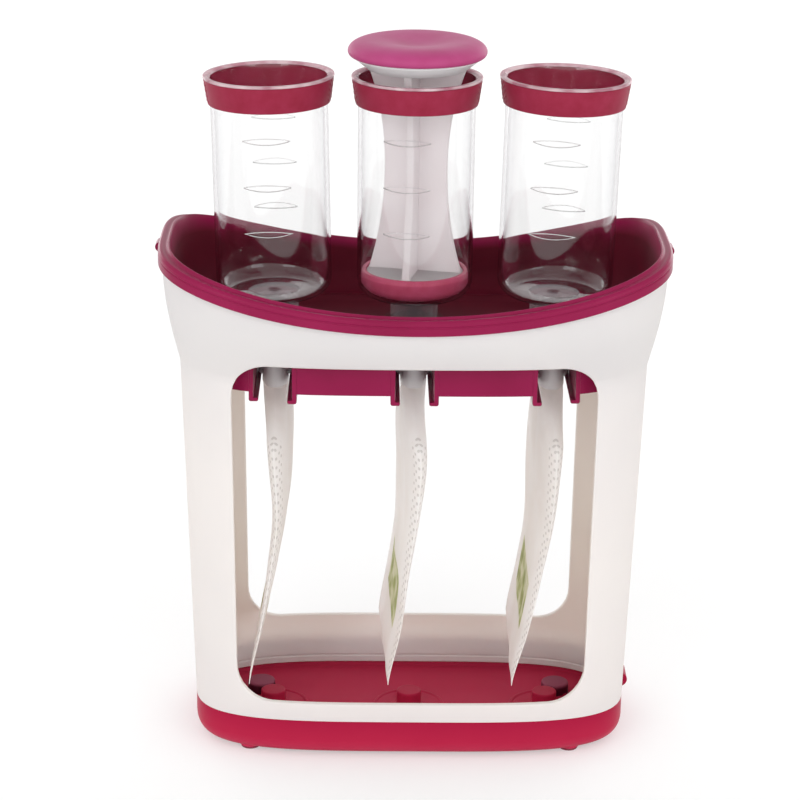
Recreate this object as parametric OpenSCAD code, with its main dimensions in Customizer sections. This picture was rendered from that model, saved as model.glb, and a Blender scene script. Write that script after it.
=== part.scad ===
// Food pouch filling station: three clear filling tubes stand in a deep top tray,
// a housing with an open front and back carries the tray, three pouches hang from
// guides under the tray, and a shallow base closes the housing below.
// Millimetres, +Z up, front is -Y, the origin lies under the middle of the object
// on the surface that it stands on.

/* [Housing] */
// Outer width of the housing at the seam with the base
seam_w = 182.6; // [178:0.2:186]
// Outer depth of the housing at the seam with the base
seam_d = 88.6; // [86:0.2:92]
// Outer width of the housing where its flare starts
waist_w = 191.8; // [189:0.2:195]
// Outer depth of the housing where its flare starts
waist_d = 94.4; // [92:0.2:98]
// Outer width of the housing at the top of its flare
brim_w = 204.4; // [202:0.2:208]
// Outer depth of the housing at the top of its flare
brim_d = 116.8; // [114:0.2:120]
// Wall of the housing
wall = 2.4; // [2:0.1:2.6]
// Squareness of the plan outline: 2 is an ellipse, more is squarer
plan_power = 3.7; // [3.4:0.1:4]

/* [Heights] */
// Height of the seam between base and housing
seam_z = 17.3; // [16:0.1:19]
// Height where the housing starts to flare
waist_z = 167; // [160:0.5:170]
// Height of the tray's floor, measured at its underside
tray_z = 173.5; // [172.5:0.1:174.5]
// Height of the tray's brim at the front, at its lower edge
brim_z = 191; // [190:0.5:194]
// How much higher the brim lies at the left and right ends
brim_rise = 18.3; // [14:0.1:20]

/* [Windows] */
// Width of the front window at its top
window_w = 147; // [142:0.5:148]
// How much narrower a window is at its bottom
window_taper = 2.4; // [0:0.1:4]
// How much narrower the back window is than the front one
back_window_less = 2.4; // [0:0.1:4]
// Height of the windows' top edge
window_top_z = 174.6; // [173:0.1:175]
// Height of the front window's sill
front_sill_z = 25.3; // [24:0.1:28]
// Height of the back window's sill
back_sill_z = 28.1; // [25:0.1:29]
// Corner radius at the top of the windows
window_top_r = 15.5; // [8:0.5:17]
// Corner radius at the bottom of the windows
window_low_r = 15; // [10:0.5:16]

/* [Tray] */
// Wall of the tray
tray_wall = 1.8; // [1.6:0.1:2]
// Floor of the tray
tray_floor_t = 2.5; // [2:0.1:3]
// Height of the brim from its lower edge to its crest
brim_h = 6.8; // [6:0.1:8]
// Width of the brim from its inner edge to its outer face
brim_t = 4.9; // [4.6:0.1:5.5]
// Outer diameter of the collars that hold the tubes' necks
collar_d = 25; // [22:0.5:28]
// Height of the collars above the tray's floor
collar_h = 4.5; // [3:0.5:5]
// How far the skirt hangs below the tray's floor
skirt_drop = 14.5; // [12:0.1:16]
// How far the guides hang below the tray's floor
guide_drop = 18.6; // [17:0.1:20]
// Thickness of one guide
guide_t = 3.9; // [3.6:0.1:4.2]
// Width of the lead-in chamfer on the front and back ends of a guide
lead_w = 1.2; // [0:0.1:1.6]
// Gap between the two guides of a pair
slot_w = 11.7; // [11.4:0.1:12]

/* [Tubes] */
// Distance between neighbouring tubes, at their collars
tube_pitch = 57.1; // [57:0.1:60]
// How far the outer tubes lean outwards, in degrees
tube_lean = 1.3; // [0:0.1:1.5]
// Outer diameter of a tube
tube_d = 47.4; // [46:0.1:48]
// Wall of a tube
tube_wall = 1.5; // [1.2:0.1:1.8]
// Length of a tube from the bottom of its bowl to its lip
tube_len = 91.2; // [86:0.2:96]
// Corner radius of a tube's bowl
bowl_r = 7.2; // [6:0.1:9]
// Height of a tube's bowl above the tray's floor
bowl_lift = 14.5; // [13:0.1:16]
// Diameter of a tube's lip
lip_d = 52.8; // [52:0.1:54]
// Height of a grip band
band_h = 10.3; // [8:0.1:12]
// Thickness of a grip band
band_t = 0.9; // [0.8:0.1:1.2]
// Diameter of the neck that stands in the collar
neck_d = 18.6; // [17:0.1:20]
// Diameter of a tube's nozzle
nozzle_d = 6.6; // [6:0.1:7]
// Bore of a tube's nozzle
nozzle_bore = 3.8; // [3:0.1:4]
// Distance between two measuring marks, one fluid ounce
mark_step = 18.9; // [18:0.1:20]
// Height of the lowest mark above the bottom of the bowl
mark_low = 30.8; // [28:0.1:33]
// Width of a measuring mark
mark_w = 19.5; // [16:0.5:22]
// Height of a measuring mark
mark_h = 2.4; // [1.6:0.1:3]

/* [Plunger] */
// Diameter of the palm cap
cap_d = 55.8; // [52:0.2:60]
// Height of the palm cap
cap_h = 6.6; // [6:0.1:8]
// Diameter of the collar under the cap
cap_seat_d = 50; // [44:0.2:51]
// Height of the collar under the cap
cap_seat_h = 5; // [4:0.1:6]
// Diameter of the stem at its two ends
stem_end_d = 39.6; // [36:0.2:40]
// Diameter of the stem at its waist
stem_waist_d = 25.7; // [22:0.1:30]
// Thickness of the stem's fins
fin_t = 3.2; // [2.4:0.1:4]
// Length of the stem, with its disc
stem_len = 85.1; // [83:0.1:88]
// Turn of the stem about the tube's axis, in degrees
stem_turn = -12.5; // [-45:0.5:45]
// Height of the seal's wall above the bottom of its bowl
seal_h = 9.7; // [9.2:0.1:11]

/* [Pouches] */
// Width of a pouch, front to back
pouch_w = 80; // [70:1:80]
// Height of a pouch's film, without its spout
pouch_h = 121; // [110:0.5:122]
// Thickness of a pouch near its top
pouch_t = 8; // [6:0.5:9]
// Depth of the sloping shoulders at the top of a pouch
shoulder_h = 17; // [12:1:20]
// Diameter of a spout's mouth
mouth_d = 9.6; // [9:0.1:10]
// Bore of a spout
spout_bore = 5.4; // [4.6:0.1:5.5]
// Diameter of a spout's flange
flange_d = 14.6; // [14:0.1:15]
// Thickness of a spout's flange
flange_t = 1.6; // [1.4:0.1:1.8]
// Height of a spout from the film to its mouth
spout_h = 18; // [16:0.1:18.4]

/* [Base] */
// Wall of the base
base_wall = 2.2; // [2:0.1:2.4]
// Floor of the base
base_floor_t = 2.5; // [2:0.1:3]
// Height of the rubber feet
foot_h = 1.2; // [1:0.1:2]
// Diameter of the rubber feet
foot_d = 8; // [7:0.1:9]
// Diameter of the posts on the base's floor
post_d = 10.7; // [9:0.1:12]
// Height of the posts on the base's floor
post_h = 7.5; // [6:0.1:9]
// Diameter of the raised discs round the posts
disc_d = 30.8; // [26:0.2:34]
// Height of the raised discs
disc_h = 0.8; // [0.5:0.1:1]
// Distance between neighbouring posts
post_pitch = 58.8; // [57:0.1:60]

/* [Latches] */
// Height of the release button near the base
button_h = 6.4; // [5.6:0.1:6.6]
// Length of the release button near the base, front to back
button_len = 12; // [8:0.5:16]
// How far the release button stands out of the housing
button_out = 2.7; // [2:0.1:3]
// Height of a tray latch's nub
nub_h = 4.2; // [3.6:0.1:4.4]
// Length of a tray latch's nub, front to back
nub_len = 7; // [6:0.5:10]
// How far a tray latch's nub stands out of the brim
nub_out = 2; // [1.5:0.1:2.2]

/* [Fits] */
// Gap between parts that slide or lift off
slip = 0.3; // [0.25:0.05:0.35]
// Radial gap of the seal in its tube
seal_gap = 0.1; // [0.08:0.01:0.12]

/* [Hidden] */
$fn = 96;
eps = 0.01;
cut = 40;

// Top of the pouches' film, just below the guides, and of the spouts
film_top_z = tray_z - guide_drop - 1.5;
spout_top_z = film_top_z + spout_h;

// Half sizes of the housing's outline at its driving heights
seam = [seam_w / 2, seam_d / 2];
waist = [waist_w / 2, waist_d / 2];
brim = [brim_w / 2, brim_d / 2];

// The thin lip on the housing's top edge, which stands inside the brim
lip_t = 1.2;
lip_h = 4.2;
ledge_u = 0.875;
tongue_t = 2;
tongue_gap = 2.3;
// Where the wall starts to thicken downwards into the tongue
root_u = 0.04;

// The base
base_r = [6.5, 7.5];
floor_z = foot_h + base_floor_t;
// Hollow rounding between its wall and its floor, as [inset, height above the floor]
base_hollow = [[0, 2.2], [0.8, 0.7], [2.4, 0]];
tongue_z = floor_z + tongue_gap;
foot_at = [seam[0] - 24, seam[1] - 12.8];
foot_boss_d = foot_d + 1.2;
block_d = 12;
block_h = 5;
block_at = [64.5, 15];
// Ribs beside the spring tongue of the release button
rib_t = 2;
rib_h = 8;
rib_reach = 3.4;

// The tray
tray_floor_z = tray_z + tray_floor_t;
tray_gap = 0.4;
tray_low_inset = [3.4, 2.6];
tray_corner = 4;
tray_inner_gap = wall + tray_gap + tray_wall;
seat = 0.05;
brim_over = slip + 1.4;
skirt_t = 2;
skirt_inset = 8.3;
lead_l = 4;
rail_t = 2;
groove_z = film_top_z + 3.2;
groove_deep = guide_t - rail_t;

// The tubes
tube_r = tube_d / 2;
bore_r = tube_r - tube_wall;
bowl_z = tray_floor_z + bowl_lift;
tube_top_z = bowl_z + tube_len;
lip_t_z = 1.1;
lip_over = 0.4;
flare_at = tube_top_z - lip_t_z - band_h;
nozzle_z = spout_top_z + slip;
neck_r = neck_d / 2;
neck_wall = 1.5;
neck_h = 5.9;
neck_fillet = 3.5;
neck_swell = 0.6;
mark_t = 0.25;
mark_turn = [-1.7, -10.5, -10.5];

// The plunger: its seal sits just clear of the bowl when it is pressed right down
seal_z = bowl_z + tube_wall + slip;
seal_top_z = seal_z + seal_h;
stem_z = seal_top_z - 2.6;
stem_disc_t = 2;
// Share of the stem's length where its waist lies, and how it swells from there
stem_waist_u = 0.536;
stem_power = 2.15;
stem_top_z = stem_z + stem_len;
cap_z = stem_top_z + cap_seat_h;
cap_seat_edge = 0.8;
// The cap's lower edge radius, the width of its upper rounding, and its dish
cap_edge = 2.1;
cap_shoulder = 8.4;
cap_dish = 2.2;
seal_lip_h = 1.8;
seal_lip_in = 0.6;

// The pouches and their spouts
// Sideways shift of each hanging pouch's front and back edge, at equal steps downwards
pouch_front = [
    [0, 0.7, 2, -1, -4, -7.6],
    [0, 3.1, 1.4, -2, -4.5, -9.5],
    [0, 0.8, -0.5, -4.4, -8.9, -15.1]
];
pouch_back = [
    [0, 4.2, 4.2, 2.3, -1.6, -4],
    [0, -4.2, -4.5, -5.4, -9.2, -13.1],
    [0, -3.7, -5.3, -5.7, -9.3, -13.5]
];
film_edge_t = 0.7;
boat_w = slot_w - 2 * slip;
boat_l = 24;
boat_h = groove_z + slip - film_top_z;

// The latches
button_z = seam_z + 2.1;
button_wall = 1.6;
button_x = seam[0] - base_wall - tongue_t - 2.6;
nub_z = brim_z + brim_rise + 1.2;
plate_t = 0.7;
plate_gap = 0.08;
plate_over = 1.9;
plate_rise = 0.4;

segments = 72;
body_steps = 3;
flare_steps = 6;

function mix(p, q, u) = p + (q - p) * u;
function signed_power(v, e) = sign(v) * pow(abs(v), e);

// One point of the plan outline, a squared ellipse with the half sizes a and b
function plan_point(a, b, t) =
    [a * signed_power(cos(t), 2 / plan_power), b * signed_power(sin(t), 2 / plan_power)];

// A level is [half width, half depth, height, rise at the ends]
function ring_points(level) = [
    for (i = [0 : segments - 1])
        let (p = plan_point(level[0], level[1], 360 * i / segments))
            [p[0], p[1], level[2] + level[3] * pow(p[0] / level[0], 2)]
];

function inset(level, d, dz = 0) = [level[0] - d, level[1] - d, level[2] + dz, level[3]];

// The housing's outer levels: a plain taper from seam to waist, then a rounded flare
function body_level(u) =
    [mix(seam[0], waist[0], u), mix(seam[1], waist[1], u), mix(seam_z, waist_z, u), 0];
function flare_level(u) = [
    mix(waist[0], brim[0], sin(90 * u)),
    mix(waist[1], brim[1], sin(90 * u)),
    mix(waist_z, brim_z, u),
    brim_rise * u
];

// Skin over a list of levels. A loop closes on itself, otherwise both ends are capped.
module skin(levels, loop = false) {
    count = len(levels);
    bands = loop ? count : count - 1;
    points = [for (level = levels) each ring_points(level)];
    sides = [
        for (k = [0 : bands - 1], i = [0 : segments - 1])
            let (
                p = k * segments,
                q = ((k + 1) % count) * segments,
                j = (i + 1) % segments
            )
                each [[p + i, q + i, q + j], [p + i, q + j, p + j]]
    ];
    caps = loop ? [] : [
        [for (i = [0 : segments - 1]) i],
        [for (i = [segments - 1 : -1 : 0]) (count - 1) * segments + i]
    ];
    polyhedron(points = points, faces = concat(sides, caps), convexity = 8);
}

function arc_points(c, r, from, to, steps = 8) = [
    for (i = [0 : steps])
        let (t = mix(from, to, i / steps))
            [c[0] + r * cos(t), c[1] + r * sin(t)]
];

// Outline of a window, seen from the front
function window_points(half_top, half_low, low_z) = concat(
    arc_points([half_top - window_top_r, window_top_z - window_top_r], window_top_r, 0, 90),
    arc_points([-half_top + window_top_r, window_top_z - window_top_r], window_top_r, 90, 180),
    arc_points([-half_low + window_low_r, low_z + window_low_r], window_low_r, 180, 270),
    arc_points([half_low - window_low_r, low_z + window_low_r], window_low_r, 270, 360)
);

module window_cut(width, low_z, side) {
    translate([0, side > 0 ? brim[1] + cut : 0, 0])
        rotate([90, 0, 0])
            linear_extrude(brim[1] + cut)
                polygon(window_points(width / 2, (width - window_taper) / 2, low_z));
}

module at_tube(index, pitch = tube_pitch) {
    translate([(index - 1) * pitch, 0, 0])
        children();
}

module each_tube(pitch = tube_pitch) {
    for (index = [0 : 2])
        at_tube(index, pitch)
            children();
}

// Place of a tube, leaning on one edge of its neck if it is an outer one
module leaning(index) {
    at_tube(index)
        translate([0, 0, tray_floor_z + (index == 1 ? 0 : neck_r * sin(tube_lean))])
            rotate([0, (index - 1) * tube_lean, 0])
                translate([0, 0, -tray_floor_z])
                    children();
}

// Upright prism on the plan outline with the half sizes a and b
module plan_prism(a, b, low_z, high_z) {
    translate([0, 0, low_z])
        linear_extrude(high_z - low_z)
            polygon([for (i = [0 : segments - 1]) plan_point(a, b, 360 * i / segments)]);
}

module block(low, high) {
    translate(low)
        cube(high - low);
}

// ---- Base: a shallow bowl with a post under each tube ----

function base_outer() = concat(
    [
        for (t = [0 : 22.5 : 90])
            [
                seam[0] - base_r[0] * (1 - sin(t)),
                seam[1] - base_r[0] * (1 - sin(t)),
                foot_h + base_r[1] * (1 - cos(t)),
                0
            ]
    ],
    [[seam[0], seam[1], seam_z, 0]]
);

function base_inner() = concat(
    [inset([seam[0], seam[1], seam_z, 0], base_wall)],
    [for (p = base_hollow) inset([seam[0], seam[1], floor_z + p[1], 0], base_wall + p[0])]
);

module base() {
    color("#B02D46")
        difference() {
            union() {
                skin(concat(base_outer(), base_inner()));
                each_tube(post_pitch) {
                    translate([0, 0, floor_z - 1])
                        cylinder(d = disc_d, h = 1 + disc_h);
                    translate([0, 0, floor_z - 1])
                        cylinder(d = post_d, h = 1 + post_h);
                }
                for (side = [-1, 1]) {
                    translate([side * block_at[0], block_at[1], floor_z - 1])
                        cylinder(d = block_d, h = 1 + block_h);
                    for (end = [-1, 1])
                        translate([side * foot_at[0], end * foot_at[1], foot_h])
                            cylinder(d = foot_boss_d, h = base_floor_t - 0.5);
                    rib_y = side * (button_len / 2 + 1 + slip + rib_t / 2);
                    block(
                        [button_x - rib_reach, rib_y - rib_t / 2, floor_z - 1],
                        [button_x + button_wall, rib_y + rib_t / 2, floor_z + rib_h]
                    );
                }
            }
            // notch in the wall for the release button
            block(
                [button_x, -button_len / 2 - slip, button_z - button_h / 2 - slip],
                [seam[0] + cut, button_len / 2 + slip, seam_z + cut]
            );
        }
}

module rubber_feet() {
    color("#7E2036")
        for (sx = [-1, 1], sy = [-1, 1])
            translate([sx * foot_at[0], sy * foot_at[1], 0])
                cylinder(d = foot_d, h = foot_h);
}

// Upright spring tongue inside the housing, with the button on its upper end
module base_latch() {
    tip_x = seam[0] + button_out;
    color("#B8385A") {
        block(
            [button_x, -button_len / 2 - 1, floor_z + slip],
            [button_x + button_wall, button_len / 2 + 1, button_z + button_h / 2 + 1]
        );
        block(
            [button_x + button_wall / 2, -button_len / 2, button_z - button_h / 2],
            [tip_x - button_h / 2, button_len / 2, button_z + button_h / 2]
        );
        translate([tip_x - button_h / 2, button_len / 2, button_z])
            rotate([90, 0, 0])
                cylinder(d = button_h, h = button_len);
    }
}

// ---- Housing: one shell, open front, back, top and bottom ----

module housing() {
    lip_top = inset(flare_level(1), 0, lip_h);
    levels = concat(
        [
            inset([seam[0], seam[1], tongue_z, 0], base_wall + slip),
            inset([seam[0], seam[1], seam_z, 0], base_wall + slip)
        ],
        [for (k = [0 : body_steps]) body_level(k / body_steps)],
        [for (k = [1 : flare_steps]) flare_level(k / flare_steps)],
        [
            lip_top,
            inset(lip_top, lip_t),
            inset(flare_level(ledge_u), lip_t),
            inset(flare_level(ledge_u), wall)
        ],
        [for (k = [flare_steps - 2 : -1 : 1]) inset(flare_level(k / flare_steps), wall)],
        [for (k = [body_steps : -1 : 1]) inset(body_level(k / body_steps), wall)],
        [
            inset(body_level(root_u), wall),
            inset([seam[0], seam[1], seam_z, 0], base_wall + slip + tongue_t),
            inset([seam[0], seam[1], tongue_z, 0], base_wall + slip + tongue_t)
        ]
    );
    color("#EEEEF0")
        difference() {
            skin(levels, loop = true);
            window_cut(window_w, front_sill_z, -1);
            window_cut(window_w - back_window_less, back_sill_z, 1);
            // slot for the release button, open at the bottom
            block(
                [seam[0] - 12, -button_len / 2 - slip, 0],
                [seam[0] + cut, button_len / 2 + slip, button_z + button_h / 2 + slip]
            );
            // notches for the tray latches, open at the top
            for (side = [-1, 1])
                block(
                    [side > 0 ? brim[0] - 4 : -brim[0] - cut, -nub_len / 2 - plate_over - slip,
                        nub_z - nub_h / 2 - slip],
                    [side > 0 ? brim[0] + cut : -brim[0] + 4, nub_len / 2 + plate_over + slip,
                        brim_z + brim_rise + cut]
                );
        }
}

// ---- Tray: deep basin, rolled brim, tube collars, and guides for the pouches ----

// The brim's section, as [distance out from its inner edge, height above its lower edge]
brim_section = [
    [brim_t, 0],
    [brim_t, 0.44 * brim_h],
    [brim_t - 0.35, 0.5 * brim_h],
    [brim_t, 0.58 * brim_h],
    [brim_t - 0.1, 0.76 * brim_h],
    [brim_t - 0.8, 0.88 * brim_h],
    [brim_t - 1.7, 0.9 * brim_h],
    [brim_t - 2.8, 0.84 * brim_h],
    [brim_t - 3.6, 0.88 * brim_h],
    [0.9, brim_h - 0.2],
    [0.4, brim_h],
    [0, brim_h - 0.7]
];

function tray_outer() = [
    inset(flare_level(0), tray_low_inset[0] + tray_corner + wall, tray_z - waist_z),
    inset(flare_level(0), tray_low_inset[1] + wall, tray_z - waist_z + 1.3),
    inset([flare_level(0.45)[0], flare_level(0.45)[1], flare_level(0.45)[2], brim_rise * 0.3],
        wall + tray_gap + 1.6),
    inset(flare_level(0.65), wall + tray_gap),
    inset(flare_level(ledge_u), wall + tray_gap, slip)
];

function tray_inner() = [
    inset(flare_level(0.88), tray_inner_gap),
    inset(flare_level(0.65), tray_inner_gap),
    inset([flare_level(0.45)[0], flare_level(0.45)[1], flare_level(0.45)[2] + 0.8, brim_rise * 0.3],
        tray_inner_gap + 1.6),
    inset(flare_level(0), tray_low_inset[1] + wall + tray_wall, tray_floor_z - waist_z + 1.2),
    inset(flare_level(0), tray_low_inset[0] + tray_corner + wall + tray_wall, tray_floor_z - waist_z)
];

function tray_brim() = concat(
    [
        inset(flare_level(ledge_u), lip_t + slip, slip),
        inset(flare_level(1), lip_t + slip, lip_h + seat),
        inset(flare_level(1), -slip, lip_h + seat),
        inset(flare_level(1), -slip)
    ],
    [for (p = brim_section) inset(flare_level(1), brim_t - brim_over - p[0], p[1])]
);

// Plan of one guide on the right of its slot, with lead-in chamfers at both ends
module guide_plan(half) {
    polygon([
        [slot_w / 2, lead_l - half], [slot_w / 2 + lead_w, -half], [slot_w / 2 + guide_t, -half],
        [slot_w / 2 + guide_t, half], [slot_w / 2 + lead_w, half], [slot_w / 2, half - lead_l]
    ]);
}

// Half length of a guide that reaches the skirt's outline at this x
function skirt_y(x) =
    (waist[1] - skirt_inset) * pow(1 - pow(abs(x) / (waist[0] - skirt_inset), plan_power), 1 / plan_power);

// The two guides of a pouch, as long as the skirt's outline allows at their outer faces
module guide_pair(index) {
    for (side = [-1, 1]) {
        half = skirt_y((index - 1) * tube_pitch + side * (slot_w / 2 + guide_t));
        mirror([side > 0 ? 0 : 1, 0, 0])
            difference() {
                translate([0, 0, tray_z - guide_drop])
                    linear_extrude(guide_drop + 1)
                        guide_plan(half);
                // channel above the ledge that carries the spout's flange
                block([0, -half - 1, groove_z], [slot_w / 2 + groove_deep, half + 1, tray_z]);
            }
    }
}

// Skirt under the floor, open where the pouches slide in and out
module tray_skirt() {
    difference() {
        plan_prism(waist[0] - skirt_inset, waist[1] - skirt_inset, tray_z - skirt_drop, tray_z + 1);
        plan_prism(waist[0] - skirt_inset - skirt_t, waist[1] - skirt_inset - skirt_t,
            tray_z - skirt_drop - 1, tray_z + 2);
        each_tube()
            block(
                [-slot_w / 2 - guide_t / 2, -waist[1], tray_z - skirt_drop - 1],
                [slot_w / 2 + guide_t / 2, waist[1], tray_z]
            );
    }
}

module tray() {
    color("#8F214B")
        difference() {
            union() {
                skin(concat(tray_outer(), tray_brim(), tray_inner()));
                tray_skirt();
                for (index = [0 : 2])
                    at_tube(index)
                        guide_pair(index);
                each_tube()
                    translate([0, 0, tray_floor_z - 1])
                        cylinder(d = collar_d, h = 1 + collar_h);
            }
            each_tube() {
                translate([0, 0, tray_floor_z])
                    cylinder(d = neck_d + 2 * slip, h = collar_h + 1);
                translate([0, 0, tray_z - 1])
                    cylinder(d = nozzle_d + 4 * slip, h = tray_floor_t + 2);
            }
            // slots in the brim for the latch nubs
            for (side = [-1, 1])
                block(
                    [side > 0 ? brim[0] + slip / 2 : -brim[0] - cut, -nub_len / 2 - slip,
                        nub_z - nub_h / 2 - cut],
                    [side > 0 ? brim[0] + cut : -brim[0] - slip / 2, nub_len / 2 + slip,
                        nub_z + nub_h / 2 + slip]
                );
        }
}

// Small catch behind the brim, with a nub that stands out through it
module tray_latch(side) {
    face_x = brim[0] + slip - plate_gap;
    tip_x = brim[0] + brim_over + nub_out;
    color("#96305A")
        mirror([side > 0 ? 0 : 1, 0, 0]) {
            block(
                [face_x - plate_t, -nub_len / 2 - plate_over, nub_z - nub_h / 2],
                [face_x, nub_len / 2 + plate_over, nub_z + nub_h / 2 + plate_rise]
            );
            block(
                [face_x - plate_t / 2, -nub_len / 2, nub_z - nub_h / 2],
                [tip_x - nub_h / 2, nub_len / 2, nub_z + nub_h / 2]
            );
            translate([tip_x - nub_h / 2, nub_len / 2, nub_z])
                rotate([90, 0, 0])
                    cylinder(d = nub_h, h = nub_len);
        }
}

// ---- Tubes: clear, with a flared lip, a bowl and a neck round a nozzle ----

function tube_outer() = concat(
    [
        [nozzle_d / 2, nozzle_z],
        [nozzle_d / 2, bowl_z - 0.6],
        [neck_r - neck_wall, bowl_z - 0.6],
        [neck_r - neck_wall, tray_floor_z],
        [neck_r, tray_floor_z],
        [neck_r, tray_floor_z + neck_h]
    ],
    arc_points([neck_r + neck_swell + neck_fillet, bowl_z - neck_fillet], neck_fillet, 180, 90, 6),
    arc_points([tube_r - bowl_r, bowl_z + bowl_r], bowl_r, -90, 0, 12),
    [
        [tube_r, flare_at],
        [lip_d / 2 - band_t - lip_over, tube_top_z - lip_t_z],
        [lip_d / 2, tube_top_z - lip_t_z],
        [lip_d / 2, tube_top_z],
        [lip_d / 2 - 1.2, tube_top_z]
    ]
);

function tube_inner() = concat(
    [
        [lip_d / 2 - band_t - lip_over - tube_wall, tube_top_z - 2 * lip_t_z],
        [bore_r, flare_at]
    ],
    arc_points([tube_r - bowl_r, bowl_z + bowl_r], bowl_r - tube_wall, 0, -90, 12),
    [
        [nozzle_bore / 2 + 1, bowl_z + tube_wall],
        [nozzle_bore / 2, bowl_z + tube_wall - 1],
        [nozzle_bore / 2, nozzle_z]
    ]
);

// Raised measuring marks, lens shaped, on the front and the back of a tube
module tube_marks(turn) {
    arc_r = (pow(mark_w / 2, 2) + pow(mark_h / 2, 2)) / mark_h;
    rotate([0, 0, turn])
        for (k = [0 : 2], side = [-1, 1])
            intersection() {
                translate([0, 0, bowl_z + mark_low + k * mark_step - mark_h])
                    difference() {
                        cylinder(r = tube_r + mark_t, h = 2 * mark_h);
                        translate([0, 0, -1])
                            cylinder(r = tube_r - tube_wall / 2, h = 2 * mark_h + 2);
                    }
                translate([0, side > 0 ? tube_r + cut : 0, bowl_z + mark_low + k * mark_step])
                    rotate([90, 0, 0])
                        linear_extrude(tube_r + cut)
                            intersection() {
                                translate([0, arc_r - mark_h / 2])
                                    circle(r = arc_r);
                                translate([0, mark_h / 2 - arc_r])
                                    circle(r = arc_r);
                            }
            }
}

module tube(index) {
    color("#E9EDEE", 0.35)
        leaning(index) {
            rotate_extrude()
                polygon(concat(tube_outer(), tube_inner()));
            tube_marks(mark_turn[index]);
        }
}

// Silicone band round the flared mouth, just under the lip
module grip_band(index) {
    gap = 0.02;
    low_r = tube_r + gap;
    high_r = lip_d / 2 - band_t - lip_over + gap;
    top = tube_top_z - lip_t_z - gap;
    color("#96385A")
        leaning(index)
            rotate_extrude()
                polygon([
                    [low_r + 0.02, flare_at],
                    [low_r + band_t, flare_at],
                    [high_r + band_t, top],
                    [high_r, top]
                ]);
}

// ---- Plunger: palm cap, collar, finned stem and seal ----

function stem_r(u) =
    let (away = abs(u - stem_waist_u) / (u < stem_waist_u ? stem_waist_u : 1 - stem_waist_u))
        mix(stem_waist_d, stem_end_d, pow(away, stem_power)) / 2;

function fin_points(steps = 24) = concat(
    [for (i = [0 : steps]) [stem_r(i / steps), stem_z + stem_len * i / steps]],
    [for (i = [steps : -1 : 0]) [-stem_r(i / steps), stem_z + stem_len * i / steps]]
);

module plunger_stem() {
    color("#DEDADC")
        at_tube(1)
            rotate([0, 0, stem_turn]) {
                for (turn = [0, 90])
                    rotate([90, 0, turn])
                        translate([0, 0, -fin_t / 2])
                            linear_extrude(fin_t)
                                polygon(fin_points());
                translate([0, 0, stem_z])
                    cylinder(d = stem_end_d, h = stem_disc_t);
            }
}

module plunger_collar() {
    color("#F2F2F4")
        at_tube(1)
            rotate_extrude()
                polygon([
                    [0, stem_top_z],
                    [stem_end_d / 2, stem_top_z],
                    [cap_seat_d / 2, stem_top_z + cap_seat_h - cap_seat_edge],
                    [cap_seat_d / 2, stem_top_z + cap_seat_h],
                    [0, stem_top_z + cap_seat_h]
                ]);
}

module plunger_cap() {
    r = cap_d / 2;
    top = cap_z + cap_h;
    color("#BC4A84")
        at_tube(1)
            rotate_extrude()
                polygon(concat(
                    [[0, cap_z]],
                    arc_points([r - cap_edge, cap_z + cap_edge], cap_edge, -90, 0, 5),
                    [
                        for (t = [10 : 10 : 90])
                            [r - cap_shoulder * (1 - cos(t)), cap_z + cap_edge + (cap_h - cap_edge) * sin(t)]
                    ],
                    [
                        [0.6 * r, top - 0.15 * cap_dish],
                        [0.45 * r, top - 0.55 * cap_dish],
                        [0.25 * r, top - 0.9 * cap_dish],
                        [0, top - cap_dish]
                    ]
                ));
}

// Silicone seal that follows the bowl and wipes the tube
module plunger_seal() {
    centre = [tube_r - bowl_r, bowl_z + bowl_r];
    seal_r = bowl_r - tube_wall - slip;
    wipe_r = bore_r - seal_gap;
    color("#A05362")
        at_tube(1)
            rotate_extrude()
                polygon(concat(
                    [[0, seal_z]],
                    arc_points(centre, seal_r, -90, 0, 9),
                    [
                        [wipe_r, centre[1] + slip],
                        [wipe_r, seal_top_z - seal_lip_h],
                        [wipe_r - seal_lip_in, seal_top_z],
                        [stem_end_d / 2 + seal_gap, seal_top_z],
                        [stem_end_d / 2 + seal_gap, stem_z],
                        [0, stem_z]
                    ]
                ));
}

// ---- Pouches and spouts ----

// A pouch's film as a plain closed form: a thin lens in every section
module pouch(index) {
    rows = 12;
    sides = 16;
    points = [
        for (k = [0 : rows])
            let (
                u = k / rows,
                z = film_top_z - pouch_h * u,
                drop = pouch_h * u,
                half_w = drop < shoulder_h
                    ? mix(boat_l / 2 - 1, pouch_w / 2, pow(drop / shoulder_h, 0.8))
                    : pouch_w / 2,
                half_t = max(film_edge_t, pouch_t * (1 - u) / 2 + film_edge_t),
                front = lookup(u, [for (i = [0 : 5]) [i / 5, pouch_front[index][i]]]),
                back = lookup(u, [for (i = [0 : 5]) [i / 5, pouch_back[index][i]]])
            )
                for (i = [0 : sides - 1])
                    let (t = 360 * i / sides, v = half_w * sin(t) / pouch_w + 0.5)
                        [
                            mix(front, back, v) + half_t * cos(t),
                            half_w * sin(t),
                            z
                        ]
    ];
    faces = concat(
        [
            for (k = [0 : rows - 1], i = [0 : sides - 1])
                let (p = k * sides, q = (k + 1) * sides, j = (i + 1) % sides)
                    each [[p + i, q + j, q + i], [p + i, p + j, q + j]]
        ],
        [
            [for (i = [sides - 1 : -1 : 0]) i],
            [for (i = [0 : sides - 1]) rows * sides + i]
        ]
    );
    color("#E6E4E0", 0.8)
        at_tube(index)
            polyhedron(points = points, faces = faces, convexity = 4);
}

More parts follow.
